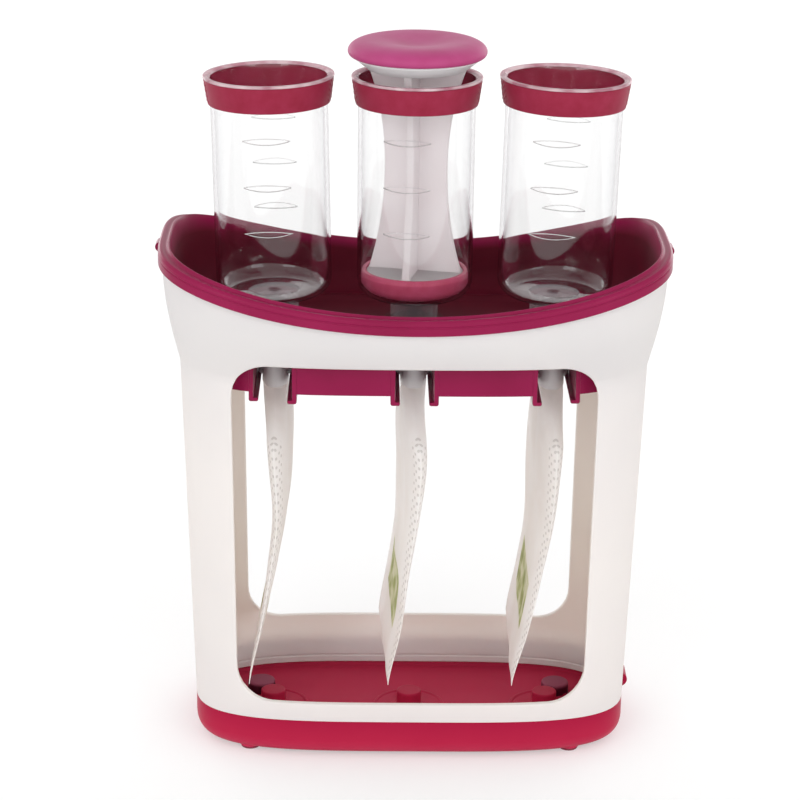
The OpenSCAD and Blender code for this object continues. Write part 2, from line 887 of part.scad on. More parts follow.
// White spout: shoulder block, neck, flange in the groove, and mouth
module spout(index) {
    flange_z = groove_z + slip;
    color("#F0EEEA")
        at_tube(index)
            difference() {
                union() {
                    intersection() {
                        translate([0, 0, film_top_z])
                            cylinder(d = boat_l, h = boat_h);
                        block([-boat_w / 2, -boat_l / 2, film_top_z], [boat_w / 2, boat_l / 2, film_top_z + boat_h]);
                    }
                    translate([0, 0, film_top_z + boat_h - eps])
                        cylinder(d = mouth_d, h = spout_h - boat_h + eps);
                    translate([0, 0, flange_z])
                        cylinder(d = flange_d, h = flange_t);
                }
                translate([0, 0, film_top_z - 1])
                    cylinder(d = spout_bore, h = spout_h + 2);
            }
}

base();
rubber_feet();
base_latch();
housing();
tray();
tray_latch(-1);  // tray_latch_left
tray_latch(1);  // tray_latch_right
tube(0);  // tube_left
tube(1);  // tube_centre
tube(2);  // tube_right
grip_band(0);  // grip_band_left
grip_band(1);  // grip_band_centre
grip_band(2);  // grip_band_right
plunger_stem();
plunger_collar();
plunger_cap();
plunger_seal();
pouch(0);  // pouch_left
pouch(1);  // pouch_centre
pouch(2);  // pouch_right
spout(0);  // spout_left
spout(1);  // spout_centre
spout(2);  // spout_right
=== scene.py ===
import math

import bmesh
import bpy
from mathutils import Matrix, Vector


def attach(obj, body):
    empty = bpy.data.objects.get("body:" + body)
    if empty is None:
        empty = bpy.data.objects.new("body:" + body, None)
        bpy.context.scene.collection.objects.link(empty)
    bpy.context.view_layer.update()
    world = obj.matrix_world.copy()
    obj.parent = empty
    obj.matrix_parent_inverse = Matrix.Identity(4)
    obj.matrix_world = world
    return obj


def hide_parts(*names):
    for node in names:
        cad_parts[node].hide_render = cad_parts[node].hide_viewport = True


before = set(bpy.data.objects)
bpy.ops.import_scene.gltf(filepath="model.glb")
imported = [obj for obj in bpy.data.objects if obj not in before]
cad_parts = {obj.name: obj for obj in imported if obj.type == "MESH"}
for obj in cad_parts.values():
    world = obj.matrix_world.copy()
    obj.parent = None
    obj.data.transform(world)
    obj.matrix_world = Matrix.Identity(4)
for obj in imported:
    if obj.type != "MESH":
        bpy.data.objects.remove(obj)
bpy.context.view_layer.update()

# ---- View ----
# The camera stands a metre in front of the object, a little to its left, and looks
# down on it by about nineteen degrees.

camera = bpy.data.objects.new("view_camera", bpy.data.cameras.new("view_camera"))
bpy.context.scene.collection.objects.link(camera)
camera.data.sensor_width = 36
camera.data.lens = 114.73
camera.data.clip_end = 20
camera.location = (-0.01916, -1.00519, 0.49239)
camera.rotation_euler = [math.radians(turn) for turn in (70.896, -0.658, -0.559)]
bpy.context.scene.camera = camera

# ---- Base ----
# A shallow dish of wine-red polypropylene, injection moulded in one piece, with a round
# post on a raised disc under each pouch and a low stop block at each end. Its lower edge is
# painted lighter: a painted glow for the light that enters its thin wall.

mm = 0.001
seam_a, seam_b, seam_z = 91.3, 44.3, 17.3
foot_h, dish_wall, dish_floor = 1.2, 2.2, 3.7
squareness = 3.7
turns = 288
post_pitch = 58.8


def linear(code, alpha=1.0):
    """The linear colour of an sRGB hex code."""
    parts = [int(code[i:i + 2], 16) / 255 for i in (0, 2, 4)]
    return [c / 12.92 if c <= 0.04045 else ((c + 0.055) / 1.055) ** 2.4 for c in parts] + [alpha]


def node(tree, kind, settings):
    """Adds a node. A setting is a socket that feeds an input, an input's value, or an option."""
    made = tree.nodes.new("ShaderNode" + kind)
    for name, value in settings.items():
        if name == "stops":
            for at, code in value[2:]:
                made.color_ramp.elements.new(at)
            for stop, (at, code) in zip(made.color_ramp.elements, sorted(value)):
                stop.position, stop.color = at, linear(code)
        elif isinstance(value, bpy.types.NodeSocket):
            tree.links.new(value, made.inputs[name])
        elif isinstance(name, int) or name in made.inputs:
            made.inputs[name].default_value = value
        else:
            setattr(made, name, value)
    return made


def material(name):
    """An empty material, ready for its nodes."""
    made = bpy.data.materials.new(name)
    made.use_nodes = True
    made.node_tree.nodes.clear()
    return made


def rounded(corners, steps=5, closed=False):
    """A section line whose corners (x, y, radius) are turned into arcs."""
    line = []
    count = len(corners)
    for i, corner in enumerate(corners):
        if len(corner) < 3 or (not closed and i in (0, count - 1)):
            line.append(tuple(corner[:2]))
            continue
        here = Vector(corner[:2])
        back = Vector(corners[i - 1][:2]) - here
        ahead = Vector(corners[(i + 1) % count][:2]) - here
        half = back.angle(ahead) / 2
        reach = min(corner[2] / math.tan(half), back.length * 0.48, ahead.length * 0.48)
        radius = reach * math.tan(half)
        centre = here + (back.normalized() + ahead.normalized()).normalized() * (radius / math.sin(half))
        start = here + back.normalized() * reach - centre
        end = here + ahead.normalized() * reach - centre
        first = math.atan2(start.y, start.x)
        sweep = math.remainder(math.atan2(end.y, end.x) - first, 2 * math.pi)
        for k in range(steps + 1):
            turn = first + sweep * k / steps
            line.append((centre.x + radius * math.cos(turn), centre.y + radius * math.sin(turn)))
    return line


def plan(a, b, turn):
    """A point of the squared-ellipse outline with half sizes a and b."""
    c, s = math.cos(turn), math.sin(turn)
    reach = (abs(c / a) ** squareness + abs(s / b) ** squareness) ** (-1 / squareness)
    return reach * c, reach * s


def ring(a, b, z, rise=0.0):
    """A level of a moulding: its outline, raised towards the left and right ends."""
    points = [plan(a, b, 2 * math.pi * k / turns) for k in range(turns)]
    return [(x, y, z + rise * (x / a) ** 2) for x, y in points]


def joined(rings, closed=False, caps=True):
    """Points and faces of the skin over a list of rings."""
    size = len(rings[0])
    points = [p for one in rings for p in one]
    faces = []
    for k in range(len(rings) if closed else len(rings) - 1):
        low, high = k * size, (k + 1) % len(rings) * size
        for i in range(size):
            j = (i + 1) % size
            faces.append((low + i, low + j, high + j, high + i))
    if caps and not closed:
        faces.append(tuple(reversed(range(size))))
        faces.append(tuple(range((len(rings) - 1) * size, len(rings) * size)))
    return points, faces


def turned(line, at=(0.0, 0.0), sides=96, closed=False):
    """Points and faces of a section line (radius, height) turned about an upright axis."""
    rings = []
    for radius, z in line:
        radius = max(radius, 0.005)
        rings.append([
            (at[0] + radius * math.cos(2 * math.pi * k / sides),
             at[1] + radius * math.sin(2 * math.pi * k / sides), z)
            for k in range(sides)
        ])
    return joined(rings, closed=closed)


def solid(name, parts, finish, sharp=38):
    """One object made of closed forms given in millimetres, with one material."""
    points, faces = [], []
    for some_points, some_faces in parts:
        shift = len(points)
        points += [(x * mm, y * mm, z * mm) for x, y, z in some_points]
        faces += [tuple(i + shift for i in face) for face in some_faces]
    mesh = bpy.data.meshes.new(name)
    mesh.from_pydata(points, [], faces)
    shape = bmesh.new()
    shape.from_mesh(mesh)
    bmesh.ops.recalc_face_normals(shape, faces=shape.faces)
    shape.to_mesh(mesh)
    shape.free()
    mesh.shade_smooth()
    mesh.set_sharp_from_angle(angle=math.radians(sharp))
    mesh.materials.append(finish)
    made = bpy.data.objects.new(name, mesh)
    bpy.context.scene.collection.objects.link(made)
    return made


def box(low, high):
    """Points and faces of an upright box."""
    corners = [(x, y) for x, y in ((low[0], low[1]), (high[0], low[1]), (high[0], high[1]), (low[0], high[1]))]
    return joined([[(x, y, z) for x, y in corners] for z in (low[2], high[2])])


def soften(piece, width, steps=3, angle=35):
    """Rounds the sharp edges of a piece, as a moulding's are."""
    bevel = piece.modifiers.new("rounding", "BEVEL")
    bevel.width = width * mm
    bevel.segments = steps
    bevel.limit_method = "ANGLE"
    bevel.angle_limit = math.radians(angle)
    bevel.harden_normals = True


def cut_out(piece, tool_parts):
    """Cuts closed forms out of a piece and keeps its smooth shading."""
    tool = solid(piece.name + "_cutter", tool_parts, piece.data.materials[0])
    cut = piece.modifiers.new("cut", "BOOLEAN")
    cut.operation = "DIFFERENCE"
    cut.solver = "EXACT"
    cut.object = tool
    shown = piece.evaluated_get(bpy.context.evaluated_depsgraph_get())
    mesh = bpy.data.meshes.new_from_object(shown)
    mesh.set_sharp_from_angle(angle=math.radians(38))
    piece.modifiers.clear()
    piece.data = mesh
    bpy.data.objects.remove(tool)


# Polypropylene, tinted and moulded: a soft even sheen, and a lower edge painted lighter, a painted
# glow for the light that passes through the wall. Its grain is drawn at about a millimetre, coarse enough to show.
red_polypropylene = material("red_polypropylene_moulded")
tree = red_polypropylene.node_tree
place = node(tree, "TexCoord", {})
axes = node(tree, "SeparateXYZ", {"Vector": place.outputs["Object"]})
flow = node(tree, "TexNoise", {"Vector": place.outputs["Object"], "Scale": 1000 / 30, "Detail": 3})
drift = node(tree, "Math", {"operation": "MULTIPLY_ADD", 0: flow.outputs["Fac"], 1: 3 * mm, 2: axes.outputs["Z"]})
# Painted glow: the colour gets lighter towards the lower edge of the moulding.
painted_edge_glow = node(tree, "MapRange", {"Value": drift.outputs[0], "From Min": 2 * mm, "From Max": 19 * mm})
tint = node(tree, "ValToRGB", {
    "Fac": painted_edge_glow.outputs[0], "stops": [(0, "C03656"), (1, "9C1438"), (0.45, "AA2040")]})
skin = node(tree, "TexNoise", {"Vector": place.outputs["Object"], "Scale": 1000 / 1.2, "Detail": 2})
grain = node(tree, "Bump", {"Height": skin.outputs["Fac"], "Strength": 0.05, "Distance": 0.2 * mm})
shader = node(tree, "BsdfPrincipled", {
    "Base Color": tint.outputs[0], "Roughness": 0.34, "IOR": 1.49, "Specular IOR Level": 0.08,
    "Normal": grain.outputs[0]})
node(tree, "OutputMaterial", {"Surface": shader.outputs[0]})

rim_round = 0.35
outer = [
    ring(seam_a - 6.5 * (1 - math.sin(t)), seam_b - 6.5 * (1 - math.sin(t)), foot_h + 7.5 * (1 - math.cos(t)))
    for t in [math.radians(a) for a in range(0, 91, 9)]
]
dish_section = rounded([
    (0, 12), (0, seam_z, rim_round), (dish_wall, seam_z, rim_round), (dish_wall, dish_floor, 2.4), (12, dish_floor)
], 6)
inner = [ring(seam_a - inset, seam_b - inset, z) for inset, z in dish_section]
dish = solid("base_dish", [joined(outer + inner)], red_polypropylene)

posts = []
for x in (-post_pitch, 0, post_pitch):
    posts.append(turned(rounded([
        (0, dish_floor - 0.5), (15.4, dish_floor - 0.5), (15.4, dish_floor + 0.8, 0.35),
        (14.2, dish_floor + 0.8, 0.2), (13.8, dish_floor + 0.35, 0.3), (6.1, dish_floor + 0.35, 0.7),
        (5.35, dish_floor + 2, 0.4), (5.3, 11.2, 0.7), (0, 11)
    ], 4), (x, 0)))
post_discs = solid("base_posts", posts, red_polypropylene)

# The dish has a slot in its right wall for the release button and two ribs beside it. The
# cutter reaches well past the wall and the rim.
button_z, button_h, button_len, button_x, button_gap = 19.4, 6.4, 12, 84.5, 0.3
half_slot, rib_y = button_len / 2 + button_gap, button_len / 2 + 2.3
cut_out(dish, [box((button_x, -half_slot, button_z - button_h / 2 - button_gap), (120, half_slot, 60))])
ribs = [
    box((button_x - 3.4, y - 1, dish_floor - 0.5), (button_x + 1.6, y + 1, dish_floor + 8))
    for y in (-rib_y, rib_y)
]
latch_ribs = solid("base_latch_ribs", ribs, red_polypropylene)
soften(latch_ribs, 0.4)

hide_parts("base")
for one in (dish, post_discs, latch_ribs):
    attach(one, "base")

# ---- Stop blocks ----
# Two low blocks of the base stand near its back corners. They are dark and matt, with a
# painted highlight: their tops are painted paler where the light falls on them.

# The same polypropylene in a darker tint with a matt skin: little gloss, its top painted pale as a painted highlight.
dark_polypropylene = material("dark_polypropylene_matt")
tree = dark_polypropylene.node_tree
place = node(tree, "TexCoord", {})
axes = node(tree, "SeparateXYZ", {"Vector": place.outputs["Object"]})
top_edge_noise = node(tree, "TexNoise", {"Vector": place.outputs["Object"], "Scale": 1000 / 6, "Detail": 4})
level = node(tree, "Math", {"operation": "MULTIPLY_ADD", 0: top_edge_noise.outputs["Fac"], 1: 1 * mm, 2: axes.outputs["Z"]})
# Painted highlight: the top of each block is painted paler, for the light from above.
painted_top_highlight = node(tree, "MapRange", {"Value": level.outputs[0], "From Min": 7.6 * mm, "From Max": 8.9 * mm})
tint = node(tree, "ValToRGB", {"Fac": painted_top_highlight.outputs[0], "stops": [(0, "480C24"), (1, "8A4058")]})
shader = node(tree, "BsdfPrincipled", {
    "Base Color": tint.outputs[0], "Roughness": 0.5, "IOR": 1.49, "Specular IOR Level": 0.2})
node(tree, "OutputMaterial", {"Surface": shader.outputs[0]})

block_x, block_y, block_top = 64.5, 15, 8.7
block_section = rounded([
    (0, dish_floor - 0.5), (6, dish_floor - 0.5), (5.9, block_top, 0.8), (0, block_top - 0.1)
], 4)
blocks = [turned(block_section, (side * block_x, block_y), 40) for side in (-1, 1)]
stops = solid("base_stop_blocks", blocks, dark_polypropylene)
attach(stops, "base")

# ---- Feet ----
# Four round feet of soft rubber stand under the corners of the base, each on a low round
# boss of the red moulding.

# Soft rubber, moulded: dull, with a fine uneven skin.
foot_rubber = material("wine_rubber_moulded")
tree = foot_rubber.node_tree
place = node(tree, "TexCoord", {})
dust = node(tree, "TexNoise", {"Vector": place.outputs["Object"], "Scale": 1000 / 2, "Detail": 5})
tint = node(tree, "ValToRGB", {"Fac": dust.outputs["Fac"], "stops": [(0.3, "761D33"), (0.7, "8A2C44")]})
grain = node(tree, "Bump", {"Height": dust.outputs["Fac"], "Strength": 0.2, "Distance": 0.1 * mm})
shader = node(tree, "BsdfPrincipled", {
    "Base Color": tint.outputs[0], "Roughness": 0.72, "IOR": 1.52, "Normal": grain.outputs[0]})
node(tree, "OutputMaterial", {"Surface": shader.outputs[0]})

foot_r, boss_r = 4, 4.6
corners = [(sx * (seam_a - 24), sy * (seam_b - 12.8)) for sx in (-1, 1) for sy in (-1, 1)]
foot_section = rounded([(0, 0), (foot_r, 0, 0.5), (foot_r, foot_h), (0, foot_h)], 4)
boss_section = rounded([(0, foot_h), (boss_r, foot_h, 0.5), (boss_r, foot_h + 2), (0, foot_h + 2)], 4)
feet = solid("base_feet", [turned(foot_section, corner, 48) for corner in corners], foot_rubber)
bosses = solid("base_foot_bosses", [turned(boss_section, corner, 48) for corner in corners], red_polypropylene)
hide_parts("rubber_feet")
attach(feet, "base")
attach(bosses, "base")

# ---- Release button ----
# A half-round button on the right side stands on a springy tongue of the base, and
# holds the housing on the base until it is pressed in.

button_out, tongue_t = 2.7, 1.6
half_len, half_h = button_len / 2, button_h / 2
nose_x = seam_a + button_out - half_h
tongue = box((button_x, -half_len - 1, dish_floor + 0.3), (button_x + tongue_t, half_len + 1, button_z + half_h + 1))
stem_of_button = box((button_x + tongue_t / 2, -half_len, button_z - half_h), (nose_x, half_len, button_z + half_h))
nose = joined([
    [(nose_x + half_h * math.cos(t), y, button_z + half_h * math.sin(t))
     for t in [2 * math.pi * k / 40 for k in range(40)]]
    for y in (-half_len, half_len)
])
button = solid("base_release_button", [tongue, stem_of_button, nose], red_polypropylene)
soften(button, 0.35)
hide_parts("base_latch")
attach(button, "base_latch")

# ---- Housing ----
# One thin shell of white ABS, injection moulded: a squared oval that widens upwards and
# flares under the tray, with a large window in front and at the back. A tongue inside its
# lower edge stands in the base.

waist_a, waist_b, waist_z = 95.9, 47.2, 167.0
brim_a, brim_b, brim_z, brim_rise = 102.2, 58.4, 191.0, 18.3
shell_wall, lip_wall, lip_top = 2.4, 1.2, 4.2
side_at = 0.86
side_end = (1 - side_at ** squareness) ** (1 / squareness)


def shell_level(w):
    """Half width, half depth, height and rise of the shell: w is 0 at the seam, 1 at the waist, 2 at the brim."""
    if w <= 1:
        return (seam_a + (waist_a - seam_a) * w, seam_b + (waist_b - seam_b) * w,
                seam_z + (waist_z - seam_z) * w, 0.0)
    u = min(w - 1, 1.0)
    swell = math.sin(u * math.pi / 2)
    return (waist_a + (brim_a - waist_a) * swell, waist_b + (brim_b - waist_b) * swell,
            waist_z + (brim_z - waist_z) * (w - 1), brim_rise * u)


def inner_inset(w):
    """The shell's wall, which thickens near the seam towards the tongue."""
    low = max(0.0, 1 - w / 0.045)
    return shell_wall + 1.1 * low * low * (3 - 2 * low)


def shell_point(column, w, inset):
    """A point of the shell. A column is a direction (x share, y share) of the plan."""
    a, b, z, rise = shell_level(w)
    return (a - inset) * column[0], (b - inset) * column[1], z + rise * column[0] ** 2


def share(part):
    """The other share of a plan direction."""
    return (1 - min(1.0, abs(part)) ** squareness) ** (1 / squareness)


def surface_at(x, z, side, inset_of):
    """Column and w of the wall where it has this x and z, on the front (-1) or back (1)."""
    w, part = 0.5, x / waist_a
    for _ in range(12):
        if z <= waist_z:
            w = (z - seam_z) / (waist_z - seam_z)
        else:
            w = 1 + (z - waist_z) / (brim_z - waist_z + brim_rise * part * part)
        part = x / (shell_level(w)[0] - inset_of(w))
    return (part, side * share(part)), w


def window_line(half_top, half_low, low_z, grow, count_low, count_side, count_top, kink):
    """The window's outline, split as the wall's grid is: bottom, right, top, left."""
    high_z, r_top, r_low = 174.6 + grow, 15.5 + grow, 15 + grow
    half_top, half_low, low_z = half_top + grow, half_low + grow, low_z - grow

    def half_side(count):
        """Points of the right side, from the middle of the lower corner to that of the upper one."""
        rise_to_kink = max(0.0, min(1.0, (waist_z - (high_z - r_top)) / r_top))
        top_turn = math.asin(rise_to_kink)
        low_arc, flat, top_arc = r_low * math.pi / 4, high_z - r_top - low_z - r_low, r_top * top_turn
        spots = [(low_arc + flat + top_arc) * k / kink for k in range(kink)]
        points = []
        for run in spots:
            if run < low_arc:
                turn = -math.pi / 4 + run / r_low
                points.append((half_low - r_low + r_low * math.cos(turn), low_z + r_low + r_low * math.sin(turn)))
            elif run < low_arc + flat:
                t = (run - low_arc) / flat
                points.append((half_low + (half_top - half_low) * t, low_z + r_low + flat * t))
            else:
                turn = (run - low_arc - flat) / r_top
                points.append((half_top - r_top + r_top * math.cos(turn), high_z - r_top + r_top * math.sin(turn)))
        for k in range(count - kink + 1):
            turn = top_turn + (math.pi / 4 - top_turn) * k / (count - kink)
            points.append((half_top - r_top + r_top * math.cos(turn), high_z - r_top + r_top * math.sin(turn)))
        return points

    def half_edge(half, radius, z, up, count):
        """Points of a horizontal edge, from its left mid-corner to its right one."""
        flat, arc = half - radius, radius * math.pi / 4
        points = []
        for k in range(count + 1):
            run = (2 * k / count - 1) * (flat + arc)
            if abs(run) <= flat:
                points.append((run, z))
            else:
                turn = (abs(run) - flat) / radius
                x = math.copysign(flat + radius * math.sin(turn), run)
                points.append((x, z - up * radius * (1 - math.cos(turn))))
        return points

    right = half_side(count_side)
    bottom = half_edge(half_low, r_low, low_z, -1, count_low)
    top = half_edge(half_top, r_top, high_z, 1, count_top)
    loop = bottom[:-1] + right[:-1] + list(reversed(top))[:-1]
    loop += [(-x, z) for x, z in reversed(right)][:-1]
    return loop


def window_wall(sizes, side, inset_of, columns, rows, kink, roll):
    """The wall from its window's edge to the edge of its panel, as rings of points."""
    half_top, half_low, low_z = sizes
    count = len(columns) - 1
    outline = window_line(half_top, half_low, low_z, roll, count, len(rows) - 1, count, kink)
    last = rows[-1]
    border = [((c, side * share(c)), 0.0) for c in columns[:-1]]
    border += [((columns[-1], side * share(columns[-1])), w) for w in rows[:-1]]
    border += [((c, side * share(c)), last) for c in reversed(columns[1:])]
    border += [((columns[0], side * share(columns[0])), w) for w in reversed(rows[1:])]
    rings = []
    steps = 10
    for k in range(steps + 1):
        t = (k / steps) ** 1.2
        line = []
        for (x, z), (column, w_border) in zip(outline, border):
            start, w = surface_at(x, z, side, inset_of)
            part = start[0] + (column[0] - start[0]) * t
            w += (w_border - w) * t
            line.append(shell_point((part, side * share(part)), w, inset_of(w)))
        rings.append(line)
    return rings


columns = [-side_at + 2 * side_at * k / 72 for k in range(73)]
rows = [k / 44 for k in range(45)] + [1 + 0.5 * k / 8 for k in range(1, 9)]
kink = 44
edge_roll = 0.7
front_window, back_window = (73.5, 72.3, 25.3), (72.3, 71.1, 28.1)
top_w = rows[-1]
side_steps = 40
ends = [-side_end + 2 * side_end * k / side_steps for k in range(side_steps + 1)]


def grid(lines):
    """Points and faces of a sheet given as rows of points."""
    size = len(lines[0])
    faces = [
        (k * size + i, k * size + i + 1, (k + 1) * size + i + 1, (k + 1) * size + i)
        for k in range(len(lines) - 1) for i in range(size - 1)
    ]
    return [p for line in lines for p in line], faces


shell_parts = []
for sizes, side in ((front_window, -1), (back_window, 1)):
    outer_rings = window_wall(sizes, side, lambda w: 0.0, columns, rows, kink, edge_roll)
    inner_rings = window_wall(sizes, side, inner_inset, columns, rows, kink, 0.4)
    rolls = []
    for k in range(1, 5):
        turn = k / 4 * math.pi / 2
        line = window_line(*sizes, edge_roll * (1 - math.sin(turn)), 72, len(rows) - 1, 72, kink)
        rolls.append([
            (x, y - side * edge_roll * (1 - math.cos(turn)), z)
            for (x, z), y in [((x, z), shell_point(*surface_at(x, z, side, lambda w: 0.0), 0.0)[1]) for x, z in line]
        ])
    inner_line = window_line(*sizes, 0.0, 72, len(rows) - 1, 72, kink)
    jamb = []
    for x, z in inner_line:
        column, w = surface_at(x, z, side, inner_inset)
        jamb.append((x, shell_point(column, w, inner_inset(w))[1] + side * 0.4, z))
    whole = list(reversed(outer_rings)) + rolls + [jamb] + inner_rings
    shell_parts.append(joined(whole, caps=False))
for side in (-1, 1):
    for inset_of in (lambda w: 0.0, inner_inset):
        shell_parts.append(grid([
            [shell_point((side * share(e), e), w, inset_of(w)) for e in ends] for w in rows
        ]))
around = [(c, -share(c)) for c in columns[:-1]] + [(share(e), e) for e in ends[:-1]]
around += [(c, share(c)) for c in reversed(columns[1:])] + [(-share(e), e) for e in reversed(ends[1:])]


def band(levels):
    """Rings of the whole shell: levels are (w, inset, height added)."""
    lines = []
    for w, inset, dz in levels:
        lines.append([(x, y, z + dz) for x, y, z in (shell_point(c, w, inset) for c in around)])
    return joined(lines, caps=False)


ledge = 1.875
upper = [(top_w + (2 - top_w) * k / 10, 0.0, 0.0) for k in range(11)]
upper += [(2, 0, lip_top - 0.3), (2, 0.1, lip_top - 0.1), (2, 0.35, lip_top), (2, lip_wall - 0.3, lip_top)]
upper += [(2, lip_wall, lip_top - 0.3), (ledge, lip_wall, 0), (ledge, shell_wall, 0)]
upper += [(ledge + (top_w - ledge) * k / 8, shell_wall, 0.0) for k in range(1, 9)]
lower = [(0, 0, 0), (0, 0.12, 0), (0, 2.2, 0.0), (0, 2.5, -0.6), (0, 2.5, -10.9), (0, 2.8, -11.3), (0, 4.2, -11.3)]
lower += [(0, 4.6, -10.9), (0, 4.6, -8.6), (0, 4.2, -8.2), (0, 4.2, -7.7), (0, 4.5, -7.3), (0, 4.4, -5.5)]
lower += [(0, 4.0, -3.0), (0, 3.5, 0.0)]
shell_parts.append(band(upper))
shell_parts.append(band(lower))

# ABS, moulded satin white: even and slightly soft, with a faint orange-peel skin. Its thin
# wall lets a little light through.
white_abs = material("white_abs_moulded")
tree = white_abs.node_tree
place = node(tree, "TexCoord", {})
cloud = node(tree, "TexNoise", {"Vector": place.outputs["Object"], "Scale": 1000 / 45, "Detail": 2})
tint = node(tree, "ValToRGB", {"Fac": cloud.outputs["Fac"], "stops": [(0.3, "EDEDEF"), (0.7, "F1F1F2")]})
skin = node(tree, "TexNoise", {"Vector": place.outputs["Object"], "Scale": 1000 / 1.5, "Detail": 2})
grain = node(tree, "Bump", {"Height": skin.outputs["Fac"], "Strength": 0.04, "Distance": 0.2 * mm})
shader = node(tree, "BsdfPrincipled", {
    "Base Color": tint.outputs[0], "Roughness": 0.38, "IOR": 1.54, "Specular IOR Level": 0.3,
    "Normal": grain.outputs[0]})
through = node(tree, "BsdfTranslucent", {"Color": linear("F8ECE0"), "Normal": grain.outputs[0]})
both = node(tree, "MixShader", {"Fac": 0.38, 1: shader.outputs[0], 2: through.outputs[0]})
node(tree, "OutputMaterial", {"Surface": both.outputs[0]})

shell = solid("housing_shell", shell_parts, white_abs)
weld = bmesh.new()
weld.from_mesh(shell.data)
bmesh.ops.remove_doubles(weld, verts=weld.verts, dist=0.004 * mm)
bmesh.ops.recalc_face_normals(weld, faces=weld.faces)
weld.to_mesh(shell.data)
weld.free()
shell.data.shade_smooth()
shell.data.set_sharp_from_angle(angle=math.radians(38))
nub_slot_half, nub_slot_low = 5.7, 208.1
cut_out(shell, [
    box((seam_a - 12, -half_slot, 0), (seam_a + 20, half_slot, button_z + half_h + button_gap)),
    box((brim_a - 4, -nub_slot_half, nub_slot_low), (brim_a + 20, nub_slot_half, 260)),
    box((-brim_a - 20, -nub_slot_half, nub_slot_low), (-brim_a + 4, nub_slot_half, 260)),
])
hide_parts("housing")
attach(shell, "housing")

# ---- Tray ----
# A deep basin of wine-red polypropylene that sits in the flare of the housing and hooks
# over its top edge with a rolled brim. Its inside is painted dark as painted shade and is slightly dull, its brim
# shines.

tube_pitch = 57.1

# Polypropylene, tinted through and moulded: an even wine red with a soft gloss.
wine_polypropylene = material("wine_polypropylene_moulded")
tree = wine_polypropylene.node_tree
place = node(tree, "TexCoord", {})
flow = node(tree, "TexNoise", {"Vector": place.outputs["Object"], "Scale": 1000 / 28, "Detail": 3})
tint = node(tree, "ValToRGB", {"Fac": flow.outputs["Fac"], "stops": [(0.3, "800C3C"), (0.7, "8A1244")]})
skin = node(tree, "TexNoise", {"Vector": place.outputs["Object"], "Scale": 1000 / 1.2, "Detail": 2})
grain = node(tree, "Bump", {"Height": skin.outputs["Fac"], "Strength": 0.05, "Distance": 0.2 * mm})
shader = node(tree, "BsdfPrincipled", {
    "Base Color": tint.outputs[0], "Roughness": 0.3, "IOR": 1.49, "Specular IOR Level": 0.18,
    "Normal": grain.outputs[0]})
node(tree, "OutputMaterial", {"Surface": shader.outputs[0]})

# The basin is the same moulding, but its inside is duller and painted darker: painted shade.
# The darker colour goes by the squared-ellipse sum, which is under one inside the brim. That
# takes in the outer flank below the brim too, which the housing hides until the tray is lifted.
basin_polypropylene = material("wine_polypropylene_painted_shade")
tree = basin_polypropylene.node_tree
place = node(tree, "TexCoord", {})
axes = node(tree, "SeparateXYZ", {"Vector": place.outputs["Object"]})
mouth_a, mouth_b, mouth_sum = 99.0, 55.2, 0.975
terms = []
for axis, half in (("X", mouth_a), ("Y", mouth_b)):
    size = node(tree, "Math", {"operation": "ABSOLUTE", 0: axes.outputs[axis]})
    part = node(tree, "Math", {"operation": "DIVIDE", 0: size.outputs[0], 1: half * mm})
    terms.append(node(tree, "Math", {"operation": "POWER", 0: part.outputs[0], 1: squareness}))
total = node(tree, "Math", {"operation": "ADD", 0: terms[0].outputs[0], 1: terms[1].outputs[0]})
flow = node(tree, "TexNoise", {"Vector": place.outputs["Object"], "Scale": 1000 / 24, "Detail": 3})
# Painted shade: inside the brim the colour ramp runs to a dark red, for the shade in the basin.
inside = node(tree, "MapRange", {
    "Value": total.outputs[0], "From Min": 0.955, "From Max": 0.995, "To Min": 0.0, "To Max": 0.8})
mottle = node(tree, "Math", {"operation": "MULTIPLY_ADD", 0: flow.outputs["Fac"], 1: 0.12, 2: inside.outputs[0]})
tint = node(tree, "ValToRGB", {
    "Fac": mottle.outputs[0], "stops": [(0, "4E0418"), (0.12, "58071E"), (0.8, "800C3C"), (0.92, "8A1244")]})
dull = node(tree, "MapRange", {"Value": inside.outputs[0], "From Max": 0.8, "To Min": 0.62, "To Max": 0.36})
skin = node(tree, "TexNoise", {"Vector": place.outputs["Object"], "Scale": 1000 / 1.2, "Detail": 2})
grain = node(tree, "Bump", {"Height": skin.outputs["Fac"], "Strength": 0.05, "Distance": 0.2 * mm})
shader = node(tree, "BsdfPrincipled", {
    "Base Color": tint.outputs[0], "Roughness": dull.outputs[0], "IOR": 1.49, "Specular IOR Level": 0.12,
    "Normal": grain.outputs[0]})
node(tree, "OutputMaterial", {"Surface": shader.outputs[0]})

tray_z, tray_floor = 173.5, 176.0
brim_t, brim_h, brim_over = 4.9, 6.8, 1.7


def flare(u, inset, dz=0.0, lift=None):
    """A ring of the flare's form: u is 0 at the waist and 1 at the brim."""
    a, b, z, rise = shell_level(1 + u)
    return ring(a - inset, b - inset, z + dz, rise if lift is None else lift)


